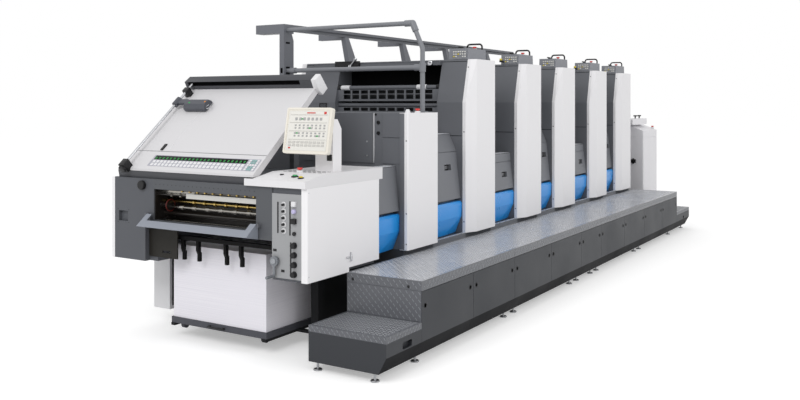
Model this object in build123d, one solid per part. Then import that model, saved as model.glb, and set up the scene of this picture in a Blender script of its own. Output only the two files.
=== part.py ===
from build123d import *
import math
import os

# Sheet-fed offset press in millimetres: X runs from the delivery to the feeder, Y from the operator's
# platform to the drive side, Z up from the floor. The finished model stands on its box's bottom centre.

# Operator's platform
door_widths = [645, 630, 674, 660, 497, 672, 660, 669, 634]
deck_plate_doors = [2, 3, 2, 2]
platform_depth = 512
deck_top = 484
sheet_wall = 4
lip_height = 57
fold_height = 142
kick_depth = 49
platform_clearance = 50
panel_gap = 3
rib_thick = 30
rail_size = 60

# Levelling feet: number of a door joint, and the distance past it
foot_spots = [(0, 76), (2, 7), (2, 172), (4, -45), (4, 115), (5, -34), (5, 125), (7, -63), (7, 108), (9, -51)]
foot_rows = [90, platform_depth - 42]
foot_pad_radius = 25
foot_pad_height = 9
foot_pad_bevel = 3
foot_stud_radius = 7

# Steps at the platform's two ends
near_step_length = 371
far_step_length = 575
step_top = 252
step_lip = 35
step_foot_inset = 31
grip_hole_length = 100
grip_hole_height = 38
grip_hole_depth = 25
grip_hole_corner = 12
grip_hole_centre_x = -156
grip_hole_centre_z = 168
far_hole_radius = 20
far_hole_x = 309
far_hole_z = 160

# Machine body on its bed
body_near_y = platform_depth
body_width = 1575
body_far_y = body_near_y + body_width
base_floor_gap = 60
base_top = deck_top + 35
base_overrun = 60
base_pad = 140
base_pad_inset = 90

# Printing units
tower_places = [1530, 2471, 3318, 4270, 5125]
tower_width = 427
tower_top = 1816
unit_inset = 25
cover_depth = 65
cover_strip = 25
facet_run = 110
lean_height = 326
lean_run = 89
frame_near_thick = 218
frame_far_thick = 354
recess_depth = 240
recess_floor = 1262
recess_roof_wall = 30

# Guards and rollers in each unit's recess: heights are over its floor, distances behind the unit's front
guard_plate_set_back = 36
guard_plate_thick = 8
guard_plate_rows = [(0, 190), (238, 330)]
guard_slot_rows = [(70, 96), (114, 140), (160, 186), (255, 291), (297, 325)]
guard_slot_count = 10
guard_slot_rib = 16
guard_slot_margin = 60
guard_bar_radius = 16
guard_bar_set_back = 60
guard_bar_height = 207
grip_bar_set_back = 52
grip_bar_height = 347
ink_rollers = [(110, 68, 45), (150, 178, 52), (110, 283, 42)]

# Unit caps with their bails
cap_depth = 163
cap_start = 89
cap_end = 399
cap_height = 84
cap_taper = 6
bail_radius = 7
bail_height = 46
bail_length = 130
bail_bend = 24
bail_inset = 36

# Key panel on each cap's delivery side, and the stop buttons
key_panel_y = (9, 128)
key_panel_z = (4, 71)
key_panel_thick = 4
stop_base_radius = 20
stop_base_height = 12
stop_base_bevel = 4
stop_stem_radius = 9
stop_stem_height = 5
stop_head_radius = 16
stop_head_height = 11
stop_head_round = 4
coater_stop_x = 164
coater_cone_x = 36
coater_cone_height = 24
coater_stop_depth = 32
console_stop_x = 202
console_stop_y = 196
feeder_stop_x = 548
feeder_stop_depth = 42

# Fenders and covers between the units: depth behind the body's near face, and height over their foot
fender_profile = [(70, 0), (34, 123), (29, 220), (43, 237)]
fender_cover_gap = 20
tall_cover = [(42, 0), (80, 350), (128, 461), (128, 474)]
low_cover = [(32, 0), (60, 225), (64, 288)]
cover_core_depth = 88
cover_seam = 4
cover_seam_depth = 6
handle_places = [344, 364, 333, 396, 350]
handle_width = 99
handle_height = 43
handle_depth = 24
tall_handle_over_foot = 236
low_handle_over_foot = 120
fender_facet_run = 118
fender_facet_height = 50
fender_facet_cut = 16
tread_thick = 5
tread_depth = 90

# Coating unit next to the delivery
coater_start = 650
coater_end = 1033
coater_top = 1420
coater_cover_overhang = 15
coater_cover_bevel = 8
coater_plate_thick = 6
coater_door_y = (219, 800)
coater_door_low = 1083
coater_panel_y = (4, 139)
coater_panel_seam = 1255

# Overhead rail, arch and braces
rail_over_towers = 279
rail_distance = 1296
rail_depth = 45
rail_height = 70
rail_flange = 23
rail_web_height = 27
rail_web_inset = 18
rail_start = 1000
rail_end = 5300
rail_arm = 238
first_post_width = 118
first_post_head = 95
post_head_taper = 55
brace_offset = 285
brace_head_width = 52
brace_foot_width = 120
brace_lean = 45
arch_overhang = 12
arch_radius = 17
arch_bend = 70
arch_lean = 80
arch_lean_height = 180
arch_in_rail = 25
arch_clamp_radius = 23
arch_clamp_length = 62
lower_tube_drop = 81
lower_tube_clamp = 50
arch_foot_length = 62
arch_foot_width = 70
arch_foot_thick = 8

# Delivery
delivery_front = -403
delivery_bottom = deck_top + 6
delivery_top = 1010
top_plate = 25
front_plate = 20
operator_box_end = 325
operator_box_depth = 235
operator_box_inner = body_near_y + operator_box_depth
drive_box_depth = 379
drive_box_inner = body_far_y - drive_box_depth
side_panel_face = body_near_y - 15
side_panel_thick = 40
side_panel_low = deck_top + 1
side_panel_raised = deck_top + 28
side_panel_round = 10
notch_x = 0
drive_panel_thick = 26
drive_recess_y = (230, 315)
drive_recess_z = (240, 305)
drive_recess_depth = 22
drive_notch = (71, 40)
lift_bracket_reach = 177
lift_bracket_thick = 8
lift_bracket_low = 28
lift_slot_y = (60, 130)
lift_slot_z = (30, 44)
window_y = (operator_box_inner + 119, drive_box_inner - 7)
window_z = (delivery_top - 256, delivery_top - 62)
front_apron = window_z[0] - 51

# Moving guard below the window
guard_pivot_x = delivery_front - 16
guard_pivot_z = window_z[0] + 31
guard_clearance = 5
guard_reach = 109
guard_tip_z = front_apron + 23
guard_flange = 44
guard_y = (operator_box_inner + 99, drive_box_inner + 33)
guard_gap = 6
guard_sheet = 3
guard_lug_thick = 10
guard_lug_height = 20
guard_pin_radius = 5
pin_clearance = 0.06

# Shafts, chain wheels and gripper bars seen through the window: distance behind the front, height over
# the window's sill, and radius
shaft_rows = [(188, 51, 17), (313, 96, 14), (343, 21, 20)]
chain_wheel_radius = 105
chain_wheel_thick = 12
chain_wheel_inset = 12
chain_wheel_teeth = 18
gripper_bar_rows = [(73, 171), (63, -12)]
gripper_bar_size = 26
gripper_count = 11
gripper_pitch = 76

# Sheet stops over the pile
stop_bar_x = delivery_front + 73
stop_bar_z = front_apron - 53
stop_bar_size = 24
stop_offsets = [-240, -118, 108, 235]
stop_width = 20
stop_thick = 8
stop_drop = 138
stop_bend_height = 60

# Pile with its carrier
paper_width = 762
paper_length = 600
pile_front = delivery_front + 133
pile_centre_y = body_near_y + 772
pile_bottom = 131
pile_under_stops = 60
board_thick = 38
board_margin = 10
castor_radius = 24
castor_width = 26
castor_drop = 16
castor_inset = 60
castor_fork_wall = 3
fork_size = 16
fork_overhang = 60
fork_lead = 4
runner_gap = 0.3

# Posts that guide the pile
post_x = 20
post_width = 60
guide_depth = 55
guide_plate_thick = 12
guide_plate_y = operator_box_inner + 25
guide_plate_end = 440
drive_post_y = drive_box_inner + 222
drive_post_size = 150
drive_post_bottom = 95
drive_post_groove = 14
drive_post_groove_place = 60

# Control panel and its fittings, in rows at shares of the panel's height
panel_z = (delivery_bottom + 9, delivery_top - 35)
panel_thick = 6
big_knob_y = side_panel_face + 88
big_knob_rows = [0.063, 0.176, 0.29, 0.403]
big_knob_radius = 15
big_knob_length = 18
knob_collar = 6
small_knob_y = operator_box_inner - 85
small_knob_rows = [0.561, 0.639, 0.716, 0.794, 0.872]
small_knob_radius = 8
small_knob_length = 14
push_button_rows = [0.54, 0.687, 0.8, 0.889]
push_button_radius = 11
push_button_length = 9
housing_knob_y = 93
housing_knob_drop = 42
housing_knob_radius = 29
housing_knob_length = 24
crank_y = operator_box_inner - 29
crank_row = 0.2
crank_disc_radius = 28
crank_disc_thick = 16
crank_arm = 84
crank_arm_width = 16
crank_grip_length = 62
crank_grip_radius = 9
crank_shaft_radius = 8
crank_gap = 6

# Inspection desk on the delivery
desk_y = (body_near_y + 378, body_far_y - 95)
desk_low = (delivery_front + 3, delivery_top + 60)
desk_run = 596
desk_rise = 517
desk_thick = 42
sill_height = 46
sill_x = (delivery_front + 18, delivery_front + 103)
sill_front_lean = 10
sill_y = (desk_y[0] + 56, desk_y[1] + 48)
strut_x = (40, 90)
strut_places = [desk_y[0] + 70, desk_y[1] - 102]
strut_width = 34
hood_overhang = 20
hood_outline = [(16, 82), (-36, 44), (-5, -14), (42, -49), (93, -7)]
hood_slot_y = (desk_y[0] + 110, desk_y[1] - 6)
hood_slot_half = 16
hood_slot_reach = (-30, 46)

# Console beside the desk, with the post of the screen
console_front = delivery_front - 17
console_end = 366
console_near_y = side_panel_face
console_far_y = desk_y[0] - 6
console_nose_y = sill_y[0] - 4
console_nose_depth = 14
console_top = delivery_top + 72
console_nose_top = delivery_top + 40
console_slope_run = 186
post_box_x = (-100, -14)
post_box_y = (console_near_y + 45, console_near_y + 173)
post_box_top = console_top + 308
post_chamfer_run = 39
post_chamfer = 56

# Screen on its pivot
screen_y = post_box_y[1] - 15
screen_width = 330
screen_height = 272
screen_thick = 34
screen_lean = 10.7
screen_corner = 14
screen_back_bevel = 6
screen_edge = 12
screen_inset = 3
pivot_x = post_box_x[0] - 46
pivot_z = post_box_top - 75
pivot_radius = 6
pivot_standoff = 14
lug_width = 30
lug_radius = 12
ear_gap = 0.4
ear_thick = 10
ear_radius = 14

# Travelling scanner
scan_rail_radius = 9
scan_rail_lift = 40
scanner_rest_y = desk_y[1] - 50
carriage_width = 44
carriage_gap = 1
carriage_foot = 12
carriage_wall = 17
carriage_length = 26
carriage_height = 16
carriage_side = 8
bearer_from_top = (92, 56)
rail_past_top = 11
bush_length = 60
bush_radius = 22
bush_from_top = 162
head_length = 190
head_depth = 88
head_height = 52
head_gap = 8
head_offset = 96
head_arm_half = 10

# Feeder
feeder_distance = 666
feeder_length = 598
feeder_near_y = body_near_y
feeder_post_depth = 190
feeder_post_low = 1144
feeder_post_high = 1220
feeder_post_round = 14
feeder_lid_seam = 78
feeder_seam = 3
feeder_wheel_y = 119
feeder_wheel_z = 779
feeder_wheel_radius = 32
feeder_wheel_thick = 16
feeder_wheel_stem = 10
feeder_wheel_lobes = 6
feeder_sill = 60
feeder_board_z = 190
feeder_board_thick = 60
feeder_pile_top = 960
feeder_pile_start = 6
feeder_pile_short = 20
feeder_beam_x = (112, 342)
feeder_beam_drop = (120, 40)
feeder_box_x = (-158, 453)
feeder_box_y = (88, 238)
feeder_box_height = 72
feeder_box_corner = 16
feeder_knob_places = [213, 383]
feeder_stem_radius = 7
feeder_stem_height = 26
feeder_knob_radius = 22
feeder_knob_height = 14
suction_half_width = 220
suction_over_pile = 20
feed_board_low = 905
feed_board_drop = 15
feed_board_thick = 60
feed_board_y = (body_near_y + 308, body_far_y - 307)

deck_length = sum(door_widths)
body_centre_y = (body_near_y + body_far_y) / 2
base_end = tower_places[-1] + tower_width + base_overrun
base_pad_places = [coater_start + base_pad_inset] + [place + tower_width / 2 for place in tower_places]
unit_near_y = body_near_y + unit_inset
unit_far_y = body_far_y - unit_inset
opening_near_y = unit_near_y + frame_near_thick
opening_far_y = unit_far_y - frame_far_thick
lean_start = tower_top - lean_height
recess_roof = tower_top - recess_roof_wall
fender_top = base_top + fender_profile[-1][1]
cover_foot = fender_top + fender_cover_gap
cover_core_y = body_near_y + cover_core_depth
entry_span = (console_end, coater_start)
rail_y = body_near_y + rail_distance
rail_top = tower_top + rail_over_towers
rail_bottom = rail_top - rail_height
arch_x = coater_end + arch_overhang
far_guide_y = 2 * pile_centre_y - guide_plate_y
pile_top = stop_bar_z - pile_under_stops
panel_height = panel_z[1] - panel_z[0]
crank_z = panel_z[0] + crank_row * panel_height
drive_shell_end = body_far_y - drive_panel_thick
desk_high = (desk_low[0] + desk_run, desk_low[1] + desk_rise)
desk_angle = math.atan2(desk_rise, desk_run)
desk_length = math.hypot(desk_run, desk_rise)
hood_y = (desk_y[0] - hood_overhang, desk_y[1] + hood_overhang)
last_tower_end = tower_places[-1] + tower_width
feeder_start = last_tower_end + feeder_distance
feeder_end = feeder_start + feeder_length
feeder_inner = feeder_near_y + feeder_post_depth


def block(x, y, z):
    """Box between two values along each axis."""
    return Pos((x[0] + x[1]) / 2, (y[0] + y[1]) / 2, (z[0] + z[1]) / 2) * Box(
        x[1] - x[0], y[1] - y[0], z[1] - z[0]
    )


def along_y(outline, y):
    """Profile of X and Z points, pulled from y[0] to y[1]."""
    face = make_face(Polyline(*[(px, y[0], pz) for px, pz in outline], close=True))
    return extrude(face, amount=y[1] - y[0], dir=(0, 1, 0))


def along_x(outline, x):
    """Profile of Y and Z points, pulled from x[0] to x[1]."""
    face = make_face(Polyline(*[(x[0], py, pz) for py, pz in outline], close=True))
    return extrude(face, amount=x[1] - x[0], dir=(1, 0, 0))


def along_z(outline, z):
    """Profile of X and Y points, pulled from z[0] to z[1]."""
    face = make_face(Polyline(*[(px, py, z[0]) for px, py in outline], close=True))
    return extrude(face, amount=z[1] - z[0], dir=(0, 0, 1))


def rod(start, end, radius):
    """Round bar between two points."""
    axis = Vector(*end) - Vector(*start)
    return extrude(Plane(origin=start, z_dir=axis) * Circle(radius), amount=axis.length)


def bent_tube(points, bend, radius):
    """Round tube along straight runs with equal bends, modelled solid."""
    path = FilletPolyline(*points, radius=bend)
    return sweep(Plane(origin=path @ 0, z_dir=path % 0) * Circle(radius), path=path)


def mirrored(solid):
    """The same piece on the drive side."""
    return mirror(solid, about=Plane.XZ.offset(-body_centre_y))


def seams():
    places = [0]
    for width in door_widths:
        places.append(places[-1] + width)
    return places


kick_wall = sheet_wall * math.hypot(kick_depth, fold_height - platform_clearance) / (
    fold_height - platform_clearance
)
kick_inner_z = fold_height + (kick_wall - sheet_wall) * (fold_height - platform_clearance) / kick_depth
kick_outline = [(0, fold_height), (kick_depth, platform_clearance)]
kick_inner = [(sheet_wall, kick_inner_z), (kick_depth + kick_wall, platform_clearance)]


def platform_deck():
    """Folded tread plates, each with a lip down its front, and an end lip at both ends."""
    places = seams()
    plates = []
    door = 0
    for count in deck_plate_doors:
        start = places[door]
        door += count
        end = places[door]
        low = start if start == 0 else start + panel_gap / 2
        high = end if end == deck_length else end - panel_gap / 2
        lip = deck_top - lip_height
        plate = block((low, high), (0, platform_depth), (deck_top - sheet_wall, deck_top))
        plate += block((low, high), (0, sheet_wall), (lip, deck_top))
        if start == 0:
            plate += block((0, sheet_wall), (0, platform_depth), (lip, deck_top))
        if end == deck_length:
            plate += block((end - sheet_wall, end), (0, platform_depth), (lip, deck_top))
        plates.append(plate)
    return plates


def platform_doors():
    """Folded front doors with their kick, and the two end panels."""
    top = deck_top - lip_height - panel_gap
    outline = [(0, top)] + kick_outline + kick_inner[::-1] + [(sheet_wall, top)]
    places = seams()
    doors = []
    for start, end in zip(places[:-1], places[1:]):
        doors.append(along_x(outline, (start + panel_gap / 2, end - panel_gap / 2)))
    end_outline = kick_inner + [
        (platform_depth, platform_clearance),
        (platform_depth, top),
        (sheet_wall, top),
    ]
    doors.append(along_x(end_outline, (0, sheet_wall)))
    doors.append(along_x(end_outline, (deck_length - sheet_wall, deck_length)))
    return doors


def platform_ribs_and_rails():
    """Welded frame: four rails, and a rib behind each door joint, notched for the rails."""
    back = platform_depth - sheet_wall
    under = deck_top - sheet_wall
    run = (sheet_wall, deck_length - sheet_wall)
    front_rail = (foot_rows[0] - rail_size / 2, foot_rows[0] + rail_size / 2)
    rails = []
    for z in ((platform_clearance, platform_clearance + rail_size), (under - rail_size, under)):
        rails.append(block(run, front_rail, z))
        rails.append(block(run, (back - rail_size, back), z))
    outline = kick_inner + [(back, platform_clearance), (back, under), (sheet_wall, under)]
    ribs = []
    for place in seams():
        middle = min(max(place, run[0] + rib_thick / 2), run[1] - rib_thick / 2)
        rib = along_x(outline, (middle - rib_thick / 2, middle + rib_thick / 2))
        for rail in rails:
            rib -= rail
        ribs.append(rib)
    return ribs, rails


def foot(x, y):
    """Levelling foot: a round pad on a stud."""
    pad = Pos(x, y, foot_pad_height / 2) * Cylinder(foot_pad_radius, foot_pad_height)
    pad = chamfer(pad.edges().filter_by(GeomType.CIRCLE).sort_by(Axis.Z)[-1], foot_pad_bevel)
    return pad + rod((x, y, foot_pad_height), (x, y, platform_clearance), foot_stud_radius)


def platform_feet():
    places = [seams()[joint] + offset for joint, offset in foot_spots]
    places += [-near_step_length + step_foot_inset, deck_length + far_step_length - step_foot_inset]
    return [foot(x, y) for x in places for y in foot_rows]


def step(x):
    """One end step: folded body with its kick, and the tread cap that sits on it."""
    rim = step_top - step_lip
    outline = kick_outline + [(platform_depth, platform_clearance), (platform_depth, rim), (0, rim)]
    core = block(
        (x[0] + sheet_wall, x[1] - sheet_wall),
        (sheet_wall, platform_depth - sheet_wall),
        (rim, step_top - sheet_wall),
    )
    body = along_x(outline, x) + core
    tread = block(x, (0, platform_depth), (rim, step_top)) - core
    return body, tread


def end_steps():
    near, near_tread = step((-near_step_length, 0))
    hole = block(
        (grip_hole_centre_x - grip_hole_length / 2, grip_hole_centre_x + grip_hole_length / 2),
        (0, grip_hole_depth),
        (grip_hole_centre_z - grip_hole_height / 2, grip_hole_centre_z + grip_hole_height / 2),
    )
    near -= fillet(hole.edges().filter_by(Axis.Y), grip_hole_corner)
    far, far_tread = step((deck_length, deck_length + far_step_length))
    hole_x = deck_length + far_hole_x
    far -= rod((hole_x, 0, far_hole_z), (hole_x, grip_hole_depth, far_hole_z), far_hole_radius)
    return [near, far], [near_tread, far_tread]


def machine_base():
    """Cast bed that carries every unit, on pads along both sides."""
    bed = block((coater_start, base_end), (body_near_y, body_far_y), (base_floor_gap, base_top))
    for place in base_pad_places:
        for y in (body_near_y + base_pad, body_far_y - base_pad):
            bed += block(
                (place - base_pad / 2, place + base_pad / 2),
                (y - base_pad / 2, y + base_pad / 2),
                (0, base_floor_gap),
            )
    return bed


def unit_body(x):
    """Printing unit: two side frames with the guarded ink train set back between them."""
    outline = [
        (x, base_top),
        (x, lean_start),
        (x + lean_run, tower_top),
        (x + tower_width, tower_top),
        (x + tower_width, base_top),
    ]
    body = along_y(outline, (unit_near_y, unit_far_y))
    return body - block((x, x + recess_depth), (opening_near_y, opening_far_y), (recess_floor, recess_roof))


def recess_rod(x, set_back, height, radius):
    """Round bar right across a unit's recess."""
    centre_x = x + set_back
    z = recess_floor + height
    return rod((centre_x, opening_near_y, z), (centre_x, opening_far_y, z), radius)


def unit_guards(x):
    """Slotted guard plates before the rollers, the guard bar between them and the grip bar on top."""
    front = x + guard_plate_set_back
    span = (front, front + guard_plate_thick)
    slot_start = opening_near_y + guard_slot_margin
    pitch = (opening_far_y - opening_near_y - 2 * guard_slot_margin + guard_slot_rib) / guard_slot_count
    plates = []
    for low, high in guard_plate_rows:
        plate = block(span, (opening_near_y, opening_far_y), (recess_floor + low, recess_floor + high))
        slots = []
        for slot_low, slot_high in guard_slot_rows:
            if low < slot_low < high:
                slot_z = (recess_floor + slot_low, recess_floor + slot_high)
                for number in range(guard_slot_count):
                    start = slot_start + number * pitch
                    slots.append(block(span, (start, start + pitch - guard_slot_rib), slot_z))
        plates.append(plate - slots)
    bar = recess_rod(x, guard_bar_set_back, guard_bar_height, guard_bar_radius)
    grip = recess_rod(x, grip_bar_set_back, grip_bar_height, guard_bar_radius)
    return plates + [bar, grip]


def unit_rollers(x):
    """Inking rollers behind the guards."""
    return [recess_rod(x, set_back, height, radius) for set_back, height, radius in ink_rollers]


def tower_cover(x):
    """Faceted white cover: a chamfered front whose near edge leans back towards the top."""
    strip_y = unit_near_y - cover_strip
    face_y = unit_near_y - cover_depth
    outline = [
        (x, unit_near_y),
        (x, strip_y),
        (x + facet_run, face_y),
        (x + tower_width, face_y),
        (x + tower_width, unit_near_y),
    ]
    cover = along_z(outline, (base_top, tower_top))
    heel = Vector(x, strip_y, lean_start)
    shoulder = Vector(x + lean_run, strip_y, tower_top)
    crown = Vector(x + facet_run, face_y, tower_top)
    rise = shoulder - heel
    lean = rise.cross(Vector(0, -1, 0))
    facet = rise.cross(crown - heel)
    for normal in (lean, facet):
        inward = normal if normal.X > 0 else normal * -1
        cover = split(cover, bisect_by=Plane(origin=heel, z_dir=inward), keep=Keep.TOP)
    return cover


def unit_cap(x):
    """Operating box on the unit's near corner."""
    outline = [
        (x + cap_start, tower_top),
        (x + cap_start + cap_taper, tower_top + cap_height),
        (x + cap_end - cap_taper, tower_top + cap_height),
        (x + cap_end, tower_top),
    ]
    return along_y(outline, (unit_near_y, unit_near_y + cap_depth))


def key_panel(x):
    """Panel of keys on the cap's leaning delivery side."""
    slope = cap_taper / cap_height
    outline = []
    for height in key_panel_z:
        outline.append((x + cap_start + height * slope, tower_top + height))
    outline += [(px - key_panel_thick, pz) for px, pz in outline[::-1]]
    return along_y(outline, (unit_near_y + key_panel_y[0], unit_near_y + key_panel_y[1]))


def stop_button(x, y, z):
    """Bevelled base and the mushroom button that stands on it."""
    base_end = z + stop_base_height
    base = rod((x, y, z), (x, y, base_end), stop_base_radius)
    base = chamfer(base.edges().filter_by(GeomType.CIRCLE).sort_by(Axis.Z)[-1], stop_base_bevel)
    head_start = base_end + stop_stem_height
    button = rod((x, y, base_end), (x, y, head_start), stop_stem_radius)
    head = rod((x, y, head_start), (x, y, head_start + stop_head_height), stop_head_radius)
    head = fillet(head.edges().filter_by(GeomType.CIRCLE).sort_by(Axis.Z)[-1], stop_head_round)
    return base, button + head


def stop_buttons():
    """Stop buttons on the caps, the coating unit's cover, the console and the feeder's near post."""
    cap_y = unit_near_y + cap_depth / 2
    spots = [(place + cap_end - bail_inset, cap_y, tower_top + cap_height) for place in tower_places]
    coater_y = unit_near_y - coater_stop_depth
    spots.append((coater_start + coater_stop_x, coater_y, coater_top))
    spots.append((console_front + console_stop_x, console_near_y + console_stop_y, console_top))
    feeder_slope = (feeder_post_high - feeder_post_low) / feeder_post_depth
    feeder_z = feeder_post_low + (feeder_stop_depth + stop_base_radius) * feeder_slope
    spots.append((feeder_start + feeder_stop_x, feeder_near_y + feeder_stop_depth, feeder_z))
    pairs = [stop_button(*spot) for spot in spots]
    bases = [base for base, _ in pairs]
    foot = Pos(*spots[-1]) * Pos(0, 0, -stop_base_radius / 2) * Cylinder(stop_base_radius, stop_base_radius)
    bases[-1] = bases[-1] + foot - feeder_post()
    cone_x = coater_start + coater_cone_x
    cone = Pos(cone_x, coater_y, coater_top + coater_cone_height / 2)
    bases.append(cone * Cone(stop_base_radius, stop_base_radius / 2, coater_cone_height))
    return bases, [button for _, button in pairs]


def cap_bail(x):
    """Bail over the stop button."""
    top = tower_top + cap_height
    place = x + cap_end - bail_inset
    near = unit_near_y + (cap_depth - bail_length) / 2
    far = near + bail_length
    points = [
        (place, near, top),
        (place, near, top + bail_height),
        (place, far, top + bail_height),
        (place, far, top),
    ]
    return bent_tube(points, bail_bend, bail_radius)


def gap_spans():
    """Free lengths between the bodies, with the outline of the cover that each carries."""
    ends = [coater_end] + [x + tower_width for x in tower_places[:-1]]
    outlines = [tall_cover, low_cover, tall_cover, low_cover, tall_cover]
    return [((start, end), outline) for start, end, outline in zip(ends, tower_places, outlines)]


def other_side(y):
    return 2 * body_centre_y - y


def near_profile(outline, foot_z):
    """Outline of depths and heights, set behind the body's near face."""
    return [(body_near_y + depth, foot_z + height) for depth, height in outline]


def cover_handle(start, outline, place):
    """Finger recess in a cover's sloping face."""
    over_foot = tall_handle_over_foot if outline is tall_cover else low_handle_over_foot
    (foot_depth, _), (fold_depth, fold_height_over_foot) = outline[:2]
    depth = foot_depth + (fold_depth - foot_depth) * over_foot / fold_height_over_foot
    z = cover_foot + over_foot
    return block(
        (start + place - handle_width / 2, start + place + handle_width / 2),
        (body_near_y, body_near_y + depth + handle_depth),
        (z - handle_height / 2, z + handle_height / 2),
    )


def gap_covers():
    """Two-part housing between two units, sloping like a step down both sides, with a finger recess."""
    covers = []
    for (span, outline), place in zip(gap_spans(), handle_places):
        section = [(cover_core_y, base_top), (cover_core_y, cover_foot)] + near_profile(outline, cover_foot)
        section += [(other_side(y), z) for y, z in section[::-1]]
        cover = along_x(section, span)
        fold_depth, fold_z = outline[1]
        seam_z = (cover_foot + fold_z - cover_seam, cover_foot + fold_z)
        cover -= block(span, (body_near_y, body_near_y + fold_depth + cover_seam_depth), seam_z)
        covers.append(cover - cover_handle(span[0], outline, place))
    face = near_profile(low_cover, cover_foot)
    entry = [(cover_core_y, base_top), (cover_core_y, cover_foot)] + face
    entry += [(operator_box_inner, face[-1][1]), (operator_box_inner, base_top)]
    covers.append(along_x(entry, entry_span))
    return covers


def gap_treads():
    """Tread strips on the covers' tops."""
    treads = []
    for span, outline in gap_spans() + [(entry_span, low_cover)]:
        edge, top = near_profile(outline, cover_foot)[-1]
        treads.append(block(span, (edge, edge + tread_depth), (top, top + tread_thick)))
    return treads


def pressed_fender(section, span):
    """Fender whose lower corner towards the feeder is pressed back to a facet."""
    (foot_depth, _), (fold_depth, fold_z) = fender_profile[:2]
    middle_depth = foot_depth + (fold_depth - foot_depth) * fender_facet_height / fold_z
    fold = Vector(span[1], body_near_y + fold_depth, base_top + fold_z)
    side = Vector(span[1] - fender_facet_run, body_near_y + middle_depth, base_top + fender_facet_height)
    foot_point = Vector(span[1], body_near_y + foot_depth + fender_facet_cut, base_top)
    facet = (side - fold).cross(foot_point - fold)
    inward = facet if facet.Y > 0 else facet * -1
    return split(along_x(section, span), bisect_by=Plane(origin=fold, z_dir=inward), keep=Keep.TOP)


def blue_fenders():
    """Pressed fenders under the covers, on both sides."""
    section = [(cover_core_y, base_top)] + near_profile(fender_profile, base_top)
    section.append((cover_core_y, fender_top))
    fenders = [pressed_fender(section, entry_span)]
    for span, _ in gap_spans():
        fender = pressed_fender(section, span)
        fenders.append(fender)
        fenders.append(mirrored(fender))
    return fenders


def coating_unit():
    """Low coating unit, and the white cover on its operator side."""
    body = block((coater_start, coater_end), (unit_near_y, unit_far_y), (base_top, coater_top))
    plate_x = (coater_start - coater_plate_thick, coater_start)
    door_y = (unit_near_y + coater_door_y[0], unit_near_y + coater_door_y[1])
    panel_y = (unit_near_y + coater_panel_y[0], unit_near_y + coater_panel_y[1])
    seam_half = cover_seam / 2
    body += block(plate_x, door_y, (coater_door_low, coater_top))
    body += block(plate_x, panel_y, (coater_door_low, coater_panel_seam - seam_half))
    body += block(plate_x, panel_y, (coater_panel_seam + seam_half, coater_top))
    start = coater_start - coater_cover_overhang
    face = unit_near_y - cover_depth
    outline = [
        (start, unit_near_y),
        (start, face + coater_cover_bevel),
        (start + coater_cover_bevel, face),
        (coater_end, face),
        (coater_end, unit_near_y),
    ]
    return body, along_z(outline, (base_top, coater_top))


def guard_arch():
    """Clamped tubes over the coating unit: a leaning post on a foot plate, with rails to the first post."""
    top = rail_bottom + arch_in_rail
    shoulder = top - arch_lean_height
    lower = tower_top - lower_tube_drop
    elbow_y = cover_core_y + arch_lean
    points = [
        (arch_x, cover_core_y, coater_top + arch_foot_thick),
        (arch_x, cover_core_y, shoulder),
        (arch_x, elbow_y, top),
    ]
    lean_length = math.hypot(arch_lean, arch_lean_height)
    elbow_low = (
        arch_x,
        elbow_y - arch_lean * arch_clamp_length / lean_length,
        top - arch_lean_height * arch_clamp_length / lean_length,
    )
    half = arch_clamp_length / 2
    fittings = rod((arch_x, elbow_y, top), (arch_x, rail_y, top), arch_radius)
    fittings += Pos(arch_x, elbow_y, top) * Sphere(arch_clamp_radius)
    fittings += rod((arch_x, elbow_y, top), (arch_x, elbow_y + arch_clamp_length, top), arch_clamp_radius)
    fittings += rod((arch_x, elbow_y, top), elbow_low, arch_clamp_radius)
    fittings += rod((arch_x, cover_core_y, lower), (arch_x, rail_y, lower), arch_radius)
    tee = ((arch_x, cover_core_y, lower - half), (arch_x, cover_core_y, lower + half))
    fittings += rod(*tee, arch_clamp_radius)
    for near, far in (
        (cover_core_y, cover_core_y + arch_clamp_length),
        (rail_y - lower_tube_clamp - half, rail_y - half),
    ):
        fittings += rod((arch_x, near, lower), (arch_x, far, lower), arch_clamp_radius)
    plate_end = arch_x + arch_radius
    plate = block(
        (plate_end - arch_foot_length, plate_end),
        (cover_core_y - arch_foot_width / 2, cover_core_y + arch_foot_width / 2),
        (coater_top, coater_top + arch_foot_thick),
    )
    return bent_tube(points, arch_bend, arch_radius) + plate + fittings


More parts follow.
